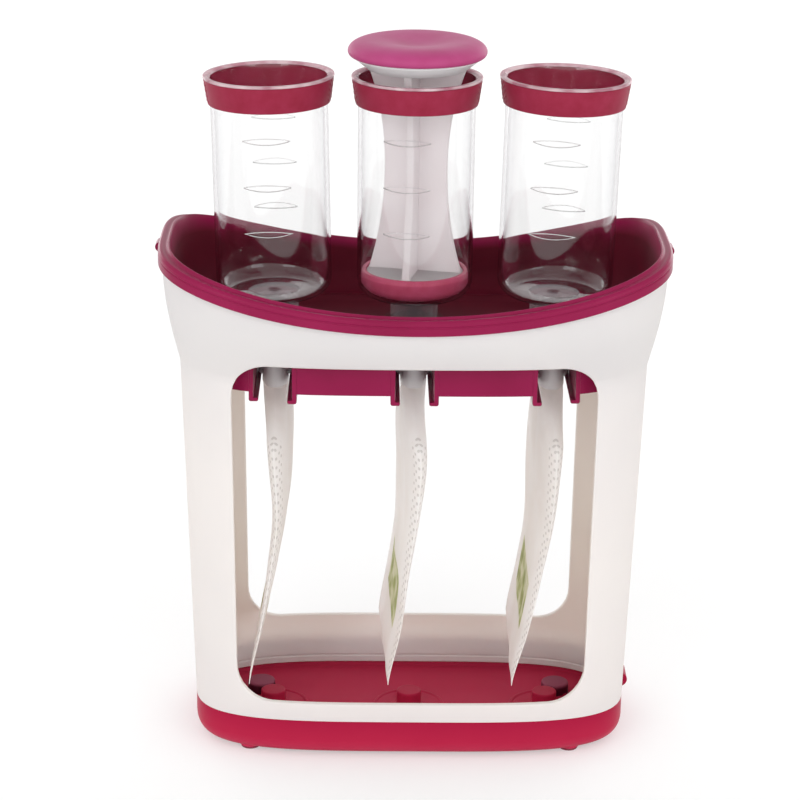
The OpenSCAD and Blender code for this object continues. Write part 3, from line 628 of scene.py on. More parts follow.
brim_section = rounded([
    (brim_t, 0, 0.3), (brim_t, 2.9, 0.4), (brim_t - 0.45, 3.35, 0.4), (brim_t, 3.9, 0.4), (brim_t - 0.1, 5.2, 0.8),
    (brim_t - 0.9, 6.05, 0.6), (brim_t - 1.8, 6.05, 0.8), (brim_t - 2.9, 5.65, 1.2), (brim_t - 3.7, 5.95, 0.6),
    (0.75, brim_h, 0.35), (0.2, brim_h - 0.1, 0.3), (0, brim_h - 1.4)
], 4)
tray_rings = [flare(0, 9.8, 6.5), flare(0, 6.6, 7.0), flare(0, 5.0, 8.6), flare(0.45, 4.4, 0, 5.5)]
tray_rings += [flare(0.65, 2.8), flare(0.875, 2.8, 0.3), flare(0.875, 1.5, 0.3), flare(1, 1.5, 4.25)]
tray_rings += [flare(1, -0.3, 4.25), flare(1, -0.3, 0.1), flare(1, -0.4)]
tray_rings += [flare(1, brim_t - brim_over - x, dz) for x, dz in brim_section]
tray_rings += [flare(u, 4.6) for u in (0.9, 0.75, 0.6)]
tray_rings += [flare(0.45, 6.2, 0.8, 5.5), flare(0.2, 6.3, 5.6, 2.0), flare(0, 6.8, 11.3)]
tray_rings += [flare(0, 8.2, 9.7), flare(0, 11.6, 9.0)]
basin = solid("tray_basin", [joined(tray_rings)], basin_polypropylene)
nozzle_hole_r, brim_slot_half, brim_slot_top = 3.9, 3.8, 212.9
nozzle_hole = [(0, 170), (nozzle_hole_r, 170), (nozzle_hole_r, 180), (0, 180)]
cut_out(basin, [turned(nozzle_hole, (x, 0), 48) for x in (-tube_pitch, 0, tube_pitch)] + [
    box((brim_a + 0.15, -brim_slot_half, 190), (brim_a + 20, brim_slot_half, brim_slot_top)),
    box((-brim_a - 20, -brim_slot_half, 190), (-brim_a - 0.15, brim_slot_half, brim_slot_top)),
])

collars = solid("tray_collars", [
    turned(rounded([
        (12.5, tray_floor - 0.4), (12.5, tray_floor + 4.5, 0.5), (9.6, tray_floor + 4.5, 0.3), (9.6, tray_floor - 0.4)
    ], 4), (x, 0), 72, closed=True) for x in (-tube_pitch, 0, tube_pitch)
], basin_polypropylene)

# The brim has the glossier skin.
basin.data.materials.append(wine_polypropylene)
for face in basin.data.polygons:
    x, y = face.center.x / (mouth_a * mm), face.center.y / (mouth_b * mm)
    if abs(x) ** squareness + abs(y) ** squareness > mouth_sum:
        face.material_index = 1

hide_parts("tray")
for one in (basin, collars):
    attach(one, "tray")

# ---- Guides ----
# Under the tray hang a thin skirt and, for each pouch, a pair of rails with a ledge that
# carries the flange of the spout. They are moulded in one with the tray, flush in front.

slot_w, guide_t, rail_t = 11.7, 3.9, 2.0
rail_low, ledge_top, skirt_low = 154.9, 156.6, 159.0
skirt_a, skirt_b = 87.6, 38.9


def skirt_y(x):
    """Half depth of the skirt's outline at this x."""
    return skirt_b * (1 - min(1.0, abs(x) / skirt_a) ** squareness) ** (1 / squareness)


rails = []
for x in (-tube_pitch, 0, tube_pitch):
    for side in (-1, 1):
        near, ledge_x, far = slot_w / 2, slot_w / 2 + guide_t - rail_t, slot_w / 2 + guide_t
        section = rounded([
            (near, rail_low, 0.7), (far, rail_low, 0.9), (far, tray_z + 0.5), (ledge_x, tray_z + 0.5),
            (ledge_x, ledge_top, 0.4), (near, ledge_top, 0.5)
        ], 3, closed=True)
        half = skirt_y(x + side * far) + 0.15
        stations = [(-half, 0.5), (0.45 - half, 0.12), (1.1 - half, 0.0)]
        stations += [(-y, tight) for y, tight in reversed(stations)]
        rings = [[
            (x + side * (px + (0.5 * tight if px < ledge_x else 0) - (0.3 * tight if px > far - 0.3 else 0)),
             y, z + (tight if z < rail_low + 0.8 else 0)) for px, z in section
        ] for y, tight in stations]
        rails.append(joined(rings))
rail_piece = solid("tray_rails", rails, wine_polypropylene)

skirt_section = rounded([(0, tray_z + 0.5), (0, skirt_low, 0.8), (2.0, skirt_low, 0.6), (2.0, tray_z + 0.5)], 4)
inner_stop = tube_pitch - slot_w / 2 - guide_t + 1.0
outer_stop = tube_pitch + slot_w / 2 + guide_t - 1.0
paths = []
for end in (-1, 1):
    for low, high in ((-inner_stop, -slot_w / 2 - guide_t + 1.0), (slot_w / 2 + guide_t - 1.0, inner_stop)):
        paths.append([(px, end * skirt_y(px)) for px in [low + (high - low) * k / 24 for k in range(25)]])
    first = math.atan2(skirt_y(outer_stop), outer_stop)
    start = first + (math.pi if end < 0 else 0)
    paths.append([plan(skirt_a, skirt_b, start - 2 * first * k / 40) for k in range(41)])
strips = []
for path in paths:
    rings = []
    for px, py in path:
        slope = Vector((
            math.copysign(abs(px / skirt_a) ** (squareness - 1) / skirt_a, px),
            math.copysign(abs(py / skirt_b) ** (squareness - 1) / skirt_b, py))).normalized()
        rings.append([(px - slope.x * depth, py - slope.y * depth, z) for depth, z in skirt_section])
    strips.append(joined(rings))
skirt_piece = solid("tray_skirt", strips, wine_polypropylene)
for one in (rail_piece, skirt_piece):
    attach(one, "tray")

# ---- Tray latches ----
# A small catch at each end of the brim shows its round nub through a slot. Pressed in,
# it lets the tray go from the housing.

nub_face, nub_z, nub_r, half_nub = brim_a + 0.22, 210.5, 2.1, 3.5
nub_x = brim_a + brim_over + 2 - nub_r
for side, name in ((-1, "left"), (1, "right")):
    plate = box((nub_face - 0.7, -half_nub - 1.9, nub_z - nub_r), (nub_face, half_nub + 1.9, nub_z + nub_r + 0.4))
    neck = box((nub_face - 0.35, -half_nub, nub_z - nub_r), (nub_x, half_nub, nub_z + nub_r))
    nub = joined([
        [(nub_x + nub_r * math.cos(t), y, nub_z + nub_r * math.sin(t))
         for t in [2 * math.pi * k / 32 for k in range(32)]]
        for y in (-half_nub, half_nub)
    ])
    parts = [([(side * x, y, z) for x, y, z in points], faces) for points, faces in (plate, neck, nub)]
    latch = solid("tray_latch_nub_" + name, parts, wine_polypropylene)
    soften(latch, 0.25)
    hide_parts("tray_latch_" + name)
    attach(latch, "tray_latch_" + name)

# ---- Tubes ----
# Three thick-walled tubes of clear copolyester, injection moulded and highly polished:
# a round bowl at the bottom, a neck round a fine nozzle, and a flared mouth with a
# rounded lip. Raised rings of a lens shape mark each fluid ounce on front and back.

# Copolyester, polished: water-clear, with sharp reflections and a grey edge painted into its colour where the eye
# looks along the wall, a painted reflection of dark surroundings. Lamplight and diffuse light go straight through to
# what it holds.
clear_copolyester = material("clear_copolyester_polished")
tree = clear_copolyester.node_tree
place = node(tree, "TexCoord", {})
flow = node(tree, "TexNoise", {"Vector": place.outputs["Object"], "Scale": 1000 / 14, "Detail": 2})
grain = node(tree, "Bump", {"Height": flow.outputs["Fac"], "Strength": 0.05, "Distance": 0.3 * mm})
# Painted reflection: the colour greys towards the edges, where the wall is seen edge-on.
painted_edge_shade = node(tree, "LayerWeight", {"Blend": 0.5})
tint = node(tree, "ValToRGB", {"Fac": painted_edge_shade.outputs["Facing"], "stops": [
    (0.4, "FBFBFB"), (0.62, "EFEFF0"), (0.8, "C4BDC1"), (1.0, "8F878C")]})
shader = node(tree, "BsdfPrincipled", {
    "Base Color": tint.outputs[0], "Roughness": 0.02, "IOR": 1.49, "Transmission Weight": 1.0,
    "Normal": grain.outputs[0]})
path = node(tree, "LightPath", {})
lighting = node(tree, "Math", {
    "operation": "MAXIMUM", 0: path.outputs["Is Shadow Ray"], 1: path.outputs["Is Diffuse Ray"]})
clear = node(tree, "BsdfTransparent", {"Color": linear("FAFAFA")})
both = node(tree, "MixShader", {"Fac": lighting.outputs[0], 1: shader.outputs[0], 2: clear.outputs[0]})
node(tree, "OutputMaterial", {"Surface": both.outputs[0]})

tube_r, tube_bore, bowl_r, bowl_z, tube_top = 23.7, 22.2, 7.2, 190.5, 281.7
neck_r, nozzle_r, nozzle_low, lip_r, flare_z = 9.3, 3.3, 171.7, 26.4, 270.3
mark_heights, mark_half, mark_rise, mark_turn = (221.3, 240.2, 259.1), 9.75, 1.2, (-1.7, -10.5, -10.5)
lean = math.radians(1.3)


def leaning(index, part):
    """Points and faces of a tube's part, moved from the origin's axis to its place, with its lean."""
    points, faces = part
    turn = Matrix.Rotation((index - 1) * lean, 4, "Y")
    lift = neck_r * math.sin(lean) * abs(index - 1)
    moved = [turn @ Vector((x, y, z - tray_floor)) for x, y, z in points]
    return [(x + (index - 1) * tube_pitch, y, z + tray_floor + lift) for x, y, z in moved], faces


def bowl_arc(radius, first, last, steps):
    """Points of the bowl's rounding, by angle."""
    return [
        (tube_r - bowl_r + radius * math.cos(t), bowl_z + bowl_r + radius * math.sin(t))
        for t in [math.radians(first + (last - first) * k / steps) for k in range(steps + 1)]
    ]


tube_section = [(10.5, bowl_z)] + bowl_arc(bowl_r, -90, 0, 14)
tube_section += rounded([
    (tube_r, 262), (tube_r, flare_z, 3), (25.0, 280.6), (23.5, 280.6), (tube_bore, flare_z, 3), (tube_bore, 262)
], 5)
tube_section += bowl_arc(bowl_r - 1.5, 0, -90, 14) + [(10.5, bowl_z + 1.5)]

# The neck stands in the tray's collar, with the nozzle in its middle.
neck_section = rounded([
    (1.9, nozzle_low, 0.2), (nozzle_r, nozzle_low, 0.4), (nozzle_r + 0.3, bowl_z - 0.6, 1.2),
    (7.8, bowl_z - 0.6, 1.5), (7.8, tray_floor, 0.3), (neck_r, tray_floor, 0.3), (9.6, 182.0, 1.5),
    (9.9, 187.6, 2.0), (10.45, bowl_z, 0.8), (10.45, bowl_z + 1.5), (2.9, bowl_z + 1.5, 1.0),
    (1.9, bowl_z + 0.5, 0.6), (1.9, nozzle_low + 0.4)
], 4)
lip_low = 280.62
lip_section = rounded([
    (23.4, lip_low, 0.1), (lip_r, lip_low, 0.35), (lip_r, tube_top, 0.45), (24.6, tube_top, 0.45),
    (23.4, lip_low + 0.3, 0.2)
], 4, closed=True)

# Copolyester again, in the neck and the nozzle: thin walls that bend little light, with a
# soft gleam.
neck_copolyester = material("clear_copolyester_thin")
tree = neck_copolyester.node_tree
place = node(tree, "TexCoord", {})
flow = node(tree, "TexNoise", {"Vector": place.outputs["Object"], "Scale": 1000 / 6, "Detail": 2})
rim_share = node(tree, "LayerWeight", {"Blend": 0.35})
veil = node(tree, "MapRange", {"Value": rim_share.outputs["Facing"], "To Min": 0.06, "To Max": 0.5})
tint = node(tree, "ValToRGB", {"Fac": flow.outputs["Fac"], "stops": [(0.3, "D9CDD2"), (0.7, "E6DCE0")]})
clear = node(tree, "BsdfTransparent", {"Color": linear("F3EEF0")})
shader = node(tree, "BsdfPrincipled", {"Base Color": tint.outputs[0], "Roughness": 0.15, "IOR": 1.49})
both = node(tree, "MixShader", {"Fac": veil.outputs[0], 1: clear.outputs[0], 2: shader.outputs[0]})
node(tree, "OutputMaterial", {"Surface": both.outputs[0]})

# The clear lip stands on the red band, whose colour shows in it: that is painted here as a mottled
# pale rose, a painted reflection of the band, partly see-through.
lip_copolyester = material("clear_copolyester_lip")
tree = lip_copolyester.node_tree
place = node(tree, "TexCoord", {})
flow = node(tree, "TexNoise", {"Vector": place.outputs["Object"], "Scale": 1000 / 9, "Detail": 2})
# Painted reflection: the band's red is painted into the lip as a pale rose.
tint = node(tree, "ValToRGB", {"Fac": flow.outputs["Fac"], "stops": [(0.35, "B9808F"), (0.65, "E8D2D6")]})
clear = node(tree, "BsdfTransparent", {"Color": linear("E8C8D0")})
shader = node(tree, "BsdfPrincipled", {"Base Color": tint.outputs[0], "Roughness": 0.08, "IOR": 1.49})
both = node(tree, "MixShader", {"Fac": 0.62, 1: clear.outputs[0], 2: shader.outputs[0]})
node(tree, "OutputMaterial", {"Surface": both.outputs[0]})


def lens_ring(z, turn, side):
    """A raised lens-shaped ring on the tube's wall."""
    reach = (mark_half ** 2 + mark_rise ** 2) / (2 * mark_rise)
    half_turn = math.asin(mark_half / reach)
    path = []
    for k in range(24):
        t = -half_turn + 2 * half_turn * k / 24
        path.append((reach * math.sin(t), mark_rise - reach + reach * math.cos(t)))
    path += [(-x, -dz) for x, dz in path]
    rings = []
    for x, dz in path:
        angle = side * math.pi / 2 + math.radians(turn) + x / tube_r
        out = Vector((math.cos(angle), math.sin(angle), 0))
        centre = out * tube_r + Vector((0, 0, z + dz))
        rings.append([
            tuple(centre + out * 0.24 * math.cos(t) + Vector((0, 0, 0.2 * math.sin(t))))
            for t in [2 * math.pi * j / 6 for j in range(6)]
        ])
    return joined(rings, closed=True)


for index, name in enumerate(("left", "centre", "right")):
    tube, neck, lip = [
        solid("tube_%s_%s" % (name, part), [leaning(index, turned(section, sides=sides, closed=True))], finish, 50)
        for part, section, sides, finish in (
            ("wall", tube_section, 128, clear_copolyester), ("neck", neck_section, 96, neck_copolyester),
            ("lip", lip_section, 128, lip_copolyester))
    ]
    marks = solid("tube_%s_marks" % name, [
        leaning(index, lens_ring(z, mark_turn[index], side)) for z in mark_heights for side in (-1, 1)
    ], clear_copolyester, 80)
    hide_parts("tube_" + name)
    for one in (tube, neck, lip, marks):
        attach(one, "tube_" + name)

# ---- Grip bands ----
# A band of wine-red silicone is stretched round each flared mouth, just under the lip,
# with small grip pimples on its left and right flanks.

# Silicone, moulded: an even dark wine red, with hardly any gloss and a fine uneven skin.
wine_silicone = material("wine_silicone_moulded")
tree = wine_silicone.node_tree
place = node(tree, "TexCoord", {})
dust = node(tree, "TexNoise", {"Vector": place.outputs["Object"], "Scale": 1000 / 5, "Detail": 5})
tint = node(tree, "ValToRGB", {"Fac": dust.outputs["Fac"], "stops": [(0.3, "871E36"), (0.7, "902741")]})
grain = node(tree, "Bump", {"Height": dust.outputs["Fac"], "Strength": 0.08, "Distance": 0.1 * mm})
shader = node(tree, "BsdfPrincipled", {
    "Base Color": tint.outputs[0], "Roughness": 0.5, "IOR": 1.43, "Specular IOR Level": 0.16, "Sheen Weight": 0.04,
    "Normal": grain.outputs[0]})
node(tree, "OutputMaterial", {"Surface": shader.outputs[0]})

band_low, band_high, band_t, mouth_r = flare_z, 280.58, 0.95, 25.1
band_section = rounded([
    (tube_r + 0.06, band_low), (tube_r + band_t, band_low, 0.35),
    (mouth_r + band_t, band_high, 0.35), (mouth_r + 0.02, band_high)
], 5)
for index, name in enumerate(("left", "centre", "right")):
    parts = [leaning(index, turned(band_section, sides=128, closed=True))]
    for flank in (0, math.pi):
        for column in range(-4, 5):
            for row in range(4):
                z = band_low + 1.7 + row * 2.2 + (column % 2) * 1.1
                angle = flank + column * 0.07
                out = tube_r + band_t + (mouth_r - tube_r) * (z - band_low) / (band_high - band_low)
                pimple = [(0.45 * math.cos(t), 0.24 * math.sin(t)) for t in [math.pi / 2 * k / 4 for k in range(5)]]
                points, faces = turned([(0.45, -0.2)] + pimple, (0, 0), 10)
                lay = Matrix.Rotation(angle, 4, "Z") @ Matrix.Rotation(math.pi / 2, 4, "Y")
                centre = Vector((out * math.cos(angle), out * math.sin(angle), z))
                parts.append(leaning(index, ([tuple(lay @ Vector(p) + centre) for p in points], faces)))
    grip = solid("tube_%s_grip_band" % name, parts, wine_silicone)
    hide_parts("grip_band_" + name)
    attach(grip, "tube_" + name)

# ---- Plunger stem ----
# Four thin fins of frosted polypropylene cross on the axis and narrow to a waist, on a
# round foot. Light passes through them, so the fins behind show faintly.

# Polypropylene with a frosted skin: milky, without sharp reflections, half see-through.
frosted_polypropylene = material("frosted_polypropylene_moulded")
tree = frosted_polypropylene.node_tree
place = node(tree, "TexCoord", {})
flow = node(tree, "TexNoise", {"Vector": place.outputs["Object"], "Scale": 1000 / 18, "Detail": 3})
tint = node(tree, "ValToRGB", {"Fac": flow.outputs["Fac"], "stops": [(0.3, "F3EDEE"), (0.7, "F8F4F5")]})
skin = node(tree, "TexNoise", {"Vector": place.outputs["Object"], "Scale": 1000 / 0.8, "Detail": 3})
grain = node(tree, "Bump", {"Height": skin.outputs["Fac"], "Strength": 0.08, "Distance": 0.1 * mm})
shader = node(tree, "BsdfPrincipled", {
    "Base Color": tint.outputs[0], "Roughness": 0.45, "IOR": 1.49, "Specular IOR Level": 0.3,
    "Normal": grain.outputs[0]})
through = node(tree, "BsdfTranslucent", {"Color": tint.outputs[0], "Normal": grain.outputs[0]})
both = node(tree, "MixShader", {"Fac": 0.5, 1: shader.outputs[0], 2: through.outputs[0]})
node(tree, "OutputMaterial", {"Surface": both.outputs[0]})

stem_low, stem_len, fin_t, stem_turn = 199.4, 85.1, 3.2, -12.5
waist_u = 0.536


def stem_half(u):
    """Half width of the stem at a share of its length."""
    away = abs(u - waist_u) / (waist_u if u < waist_u else 1 - waist_u)
    return (25.7 + 13.9 * away ** 2.15) / 2


def fin_slab(turn):
    """One pair of fins across the axis: a thin slab with rounded long edges."""
    rings = []
    for k in range(41):
        half, z = stem_half(k / 40), stem_low + stem_len * k / 40
        line = rounded([
            (-half, -fin_t / 2, 0.8), (half, -fin_t / 2, 0.8), (half, fin_t / 2, 0.8), (-half, fin_t / 2, 0.8)
        ], 4, closed=True)
        rings.append([(px, py, z) for px, py in line])
    points, faces = joined(rings)
    lay = Matrix.Rotation(math.radians(turn), 4, "Z")
    return [tuple(lay @ Vector(p)) for p in points], faces


foot_disc = turned(rounded([
    (0, stem_low), (19.8, stem_low, 0.3), (19.8, stem_low + 1.8, 0.6), (17, stem_low + 2.1, 0.3), (0, stem_low + 2.1)
], 4), (0, 0), 96)
stem = solid("plunger_fins", [fin_slab(stem_turn), fin_slab(stem_turn + 90), foot_disc], frosted_polypropylene)
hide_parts("plunger_stem")
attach(stem, "plunger")

# ---- Plunger collar ----
# A shallow cone of white polypropylene, moulded in one piece, joins the stem to the cap. It
# shows as a white ring under the cap's edge.

# Polypropylene, moulded: milky white, with a soft gloss, and it lets some light through.
white_polypropylene = material("white_polypropylene_moulded")
tree = white_polypropylene.node_tree
place = node(tree, "TexCoord", {})
flow = node(tree, "TexNoise", {"Vector": place.outputs["Object"], "Scale": 1000 / 12, "Detail": 3})
tint = node(tree, "ValToRGB", {"Fac": flow.outputs["Fac"], "stops": [(0.3, "F2F1F2"), (0.7, "F7F6F6")]})
shader = node(tree, "BsdfPrincipled", {"Base Color": tint.outputs[0], "Roughness": 0.36, "IOR": 1.49})
through = node(tree, "BsdfTranslucent", {"Color": tint.outputs[0]})
both = node(tree, "MixShader", {"Fac": 0.35, 1: shader.outputs[0], 2: through.outputs[0]})
node(tree, "OutputMaterial", {"Surface": both.outputs[0]})

cap_low = 289.5
collar = solid("plunger_cone", [turned(rounded([
    (0, 284.5), (19.8, 284.5, 0.6), (24.9, 288.6, 0.5), (25.0, cap_low, 0.1), (0, cap_low)
], 4), (0, 0), 128)], white_polypropylene)
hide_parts("plunger_collar")
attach(collar, "plunger")

# ---- Plunger cap ----
# The palm rest: a thick round pad of pink thermoplastic rubber with a wide soft dish in
# its top. Its skin is satin and slightly powdery.

# Thermoplastic rubber, moulded satin: an even pink with a very soft sheen and a fine grain.
pink_elastomer = material("pink_thermoplastic_rubber_satin")
tree = pink_elastomer.node_tree
place = node(tree, "TexCoord", {})
powder = node(tree, "TexNoise", {"Vector": place.outputs["Object"], "Scale": 1000 / 9, "Detail": 6})
tint = node(tree, "ValToRGB", {"Fac": powder.outputs["Fac"], "stops": [(0.3, "A4396C"), (0.7, "AB4175")]})
skin = node(tree, "TexNoise", {"Vector": place.outputs["Object"], "Scale": 1000 / 0.7, "Detail": 3})
grain = node(tree, "Bump", {"Height": skin.outputs["Fac"], "Strength": 0.12, "Distance": 0.1 * mm})
shader = node(tree, "BsdfPrincipled", {
    "Base Color": tint.outputs[0], "Roughness": 0.5, "IOR": 1.5, "Specular IOR Level": 0.25, "Sheen Weight": 0.05,
    "Normal": grain.outputs[0]})
node(tree, "OutputMaterial", {"Surface": shader.outputs[0]})

cap_r, cap_edge, cap_shoulder, cap_top = 27.9, 2.1, 8.4, 296.1
cap_line = [(0, cap_low), (25.0, cap_low)]
cap_line += [
    (cap_r - cap_edge + cap_edge * math.cos(t), cap_low + cap_edge + cap_edge * math.sin(t))
    for t in [math.radians(a) for a in range(-84, 1, 12)]
]
for k in range(1, 19):
    t = math.radians(5 * k)
    cap_line.append((
        cap_r - cap_shoulder * (1 - math.cos(t)),
        cap_low + cap_edge + (cap_top - cap_low - cap_edge) * math.sin(t)))
for k in range(1, 21):
    r = (cap_r - cap_shoulder) * (1 - k / 20)
    cap_line.append((r, cap_top - 1.1 * (1 + math.cos(math.pi * r / (cap_r - cap_shoulder)))))
cap = solid("plunger_palm_cap", [turned(cap_line, (0, 0), 128)], pink_elastomer)
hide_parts("plunger_cap")
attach(cap, "plunger")

# ---- Plunger seal ----
# A cup of soft silicone sits over the stem's foot. Its underside has the form of the tube's
# bowl, and its upper edge stands out as a wiping lip.

# Silicone, moulded, paler than the bands': a faintly mottled rose with a soft gloss.
rose_silicone = material("rose_silicone_moulded")
tree = rose_silicone.node_tree
place = node(tree, "TexCoord", {})
dust = node(tree, "TexNoise", {"Vector": place.outputs["Object"], "Scale": 1000 / 4, "Detail": 4})
tint = node(tree, "ValToRGB", {"Fac": dust.outputs["Fac"], "stops": [(0.3, "B34561"), (0.7, "BE5070")]})
shader = node(tree, "BsdfPrincipled", {
    "Base Color": tint.outputs[0], "Roughness": 0.42, "IOR": 1.43, "Specular IOR Level": 0.3})
node(tree, "OutputMaterial", {"Surface": shader.outputs[0]})

seal_low, seal_top = 192.3, 202.0
seal_line = [(0, seal_low)]
seal_line += bowl_arc(bowl_r - 1.8, -90, 0, 10)
seal_line += rounded([
    (22.05, 198.1, 0.3), (22.1, 200.2, 0.4), (21.5, seal_top, 0.4), (19.9, seal_top, 0.3),
    (19.85, stem_low), (0, stem_low)
], 4)
seal = solid("plunger_wiper_seal", [turned(seal_line, (0, 0), 128)], rose_silicone)
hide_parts("plunger_seal")
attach(seal, "plunger")

# ---- Pouches ----
# Flat bags of milky laminated film, welded along both sides and the lower end. They hang
# empty by their spouts, bent sideways, with a printed field low on each face.

film_top, film_low, half_pouch = 153.4, 32.4, 40.0
film_columns, film_rows = 32, 60
# How far the front and back edges of the left, middle and right pouch stand to the side, at
# equal steps from top to bottom.
front_line = [[0, 0.7, 1.6, -1.4, -5.4, -10.2], [0, 3.1, 1.4, -2.0, -4.5, -9.5], [0, 0.8, -0.5, -4.4, -8.9, -15.1]]
back_line = [[0, 3.6, 3.6, 1.4, -3.0, -8.0], [0, -4.2, -4.5, -5.4, -9.2, -13.1], [0, -3.7, -5.3, -5.7, -9.3, -13.5]]


def between(line, u):
    """A smooth value along a list given at equal steps."""
    u = max(0.0, min(1.0, u)) * (len(line) - 1)
    k = min(int(u), len(line) - 2)
    t = u - k
    p = [line[max(k - 1, 0)], line[k], line[k + 1], line[min(k + 2, len(line) - 1)]]
    return 0.5 * (2 * p[1] + (p[2] - p[0]) * t + (2 * p[0] - 5 * p[1] + 4 * p[2] - p[3]) * t * t
                  + (3 * p[1] - 3 * p[2] + p[3] - p[0]) * t ** 3)


def film_point(index, v, u, face):
    """A point of a pouch: v runs from front (-1) to back (1), u from top to bottom, face is the side."""
    drop = (film_top - film_low) * u
    reach = 11 + (half_pouch - 11) * min(1.0, drop / 17) ** 0.8
    y = reach * v
    share_back = (y / half_pouch + 1) / 2
    x = between(front_line[index], u) * (1 - share_back) + between(back_line[index], u) * share_back
    weld = min(1.0, (1 - abs(v)) * reach / 7, (1 - u) * 121 / 9)
    bulge = (4.6 * (1 - u) ** 1.3 + 0.5) * max(0.0, weld) ** 0.55 * (1 - 0.35 * v * v)
    ripple = 0.35 * math.sin(7 * v + 9 * u + index) * math.sin(13 * u + 2 * index) * (1 - v * v)
    return (index - 1) * tube_pitch + x + face * (bulge + 0.12) + ripple, y, film_top - drop


# Laminated film, milky and thin: light from behind passes through it. Rows of small dots are
# pressed into the side welds, and a mottled leaf-green field is printed low on both faces.
milky_film = material("milky_laminated_film_printed")
tree = milky_film.node_tree
place = node(tree, "TexCoord", {})
axes = node(tree, "SeparateXYZ", {"Vector": place.outputs["Object"]})
crease = node(tree, "TexNoise", {
    "Vector": place.outputs["Object"], "Scale": 1000 / 22, "Detail": 4, "Distortion": 0.6})
tint = node(tree, "ValToRGB", {"Fac": crease.outputs["Fac"], "stops": [(0.3, "F6F3F0"), (0.7, "FCFBFA")]})

edge = node(tree, "Math", {"operation": "ABSOLUTE", 0: axes.outputs["Y"]})
weld_zone = node(tree, "MapRange", {"Value": edge.outputs[0], "From Min": 33.6 * mm, "From Max": 34.0 * mm})
across = node(tree, "Math", {"operation": "MULTIPLY", 0: axes.outputs["Y"], 1: 1000 * math.pi / 1.9})
along = node(tree, "Math", {"operation": "MULTIPLY", 0: axes.outputs["Z"], 1: 1000 * math.pi / 1.9})
wave_y = node(tree, "Math", {"operation": "SINE", 0: across.outputs[0]})
wave_z = node(tree, "Math", {"operation": "SINE", 0: along.outputs[0]})
grid_dots = node(tree, "Math", {"operation": "MULTIPLY", 0: wave_y.outputs[0], 1: wave_z.outputs[0]})
dot = node(tree, "MapRange", {"Value": grid_dots.outputs[0], "From Min": 0.35, "From Max": 0.6})
dots = node(tree, "Math", {"operation": "MULTIPLY", 0: dot.outputs[0], 1: weld_zone.outputs[0]})
dotted = node(tree, "Mix", {"data_type": "RGBA", "Factor": dots.outputs[0], 6: tint.outputs[0], 7: linear("DEDBD8")})

slant = node(tree, "Math", {"operation": "MULTIPLY_ADD", 0: axes.outputs["Y"], 1: -0.13, 2: axes.outputs["Z"]})
spans = []
for value, low, high in ((slant.outputs[0], 52.6, 73.8), (axes.outputs["Y"], -22.0, 20.0)):
    rise = node(tree, "MapRange", {"Value": value, "From Min": low * mm, "From Max": (low + 0.5) * mm})
    fall = node(tree, "MapRange", {
        "Value": value, "From Min": (high - 0.5) * mm, "From Max": high * mm, "To Min": 1.0, "To Max": 0.0})
    spans.append(node(tree, "Math", {"operation": "MULTIPLY", 0: rise.outputs[0], 1: fall.outputs[0]}))
field = node(tree, "Math", {"operation": "MULTIPLY", 0: spans[0].outputs[0], 1: spans[1].outputs[0]})
leaves = node(tree, "TexVoronoi", {"Vector": place.outputs["Object"], "Scale": 1000 / 7, "Randomness": 0.9})
blotch = node(tree, "TexNoise", {"Vector": place.outputs["Object"], "Scale": 1000 / 9, "Detail": 2})
mixed = node(tree, "Math", {
    "operation": "MULTIPLY_ADD", 0: leaves.outputs["Distance"], 1: 0.5, 2: blotch.outputs["Fac"]})
green = node(tree, "ValToRGB", {"Fac": mixed.outputs[0], "stops": [
    (0.5, "A9AE6C"), (0.8, "D9DBB4"), (0.66, "BFC486"), (0.95, "EDEBD6")]})
printed = node(tree, "Mix", {
    "data_type": "RGBA", "Factor": field.outputs[0], 6: dotted.outputs[2], 7: green.outputs[0]})

pressed = node(tree, "Math", {"operation": "MULTIPLY_ADD", 0: dots.outputs[0], 1: -0.2, 2: crease.outputs["Fac"]})
folds = node(tree, "Bump", {"Height": pressed.outputs[0], "Strength": 0.3, "Distance": 0.6 * mm})
shader = node(tree, "BsdfPrincipled", {
    "Base Color": printed.outputs[2], "Roughness": 0.4, "IOR": 1.5, "Specular IOR Level": 0.3,
    "Normal": folds.outputs[0]})
through = node(tree, "BsdfTranslucent", {"Color": printed.outputs[2], "Normal": folds.outputs[0]})
both = node(tree, "MixShader", {"Fac": 0.55, 1: shader.outputs[0], 2: through.outputs[0]})
node(tree, "OutputMaterial", {"Surface": both.outputs[0]})

for index, name in enumerate(("left", "centre", "right")):
    rings = []
    for j in range(film_rows + 1):
        u = j / film_rows
        line = [film_point(index, -1 + 2 * k / film_columns, u, 1) for k in range(film_columns + 1)]
        line += [film_point(index, 1 - 2 * k / film_columns, u, -1) for k in range(film_columns + 1)]
        rings.append(line)
    pouch = solid("pouch_%s_film" % name, [joined(rings)], milky_film, 60)
    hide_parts("pouch_" + name)
    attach(pouch, "pouch_" + name)

# ---- Spouts ----
# White moulded spouts are welded into the tops of the pouches: a boat-shaped shoulder, a
# flange that rides in the rails, and a short neck up to the tube's nozzle.

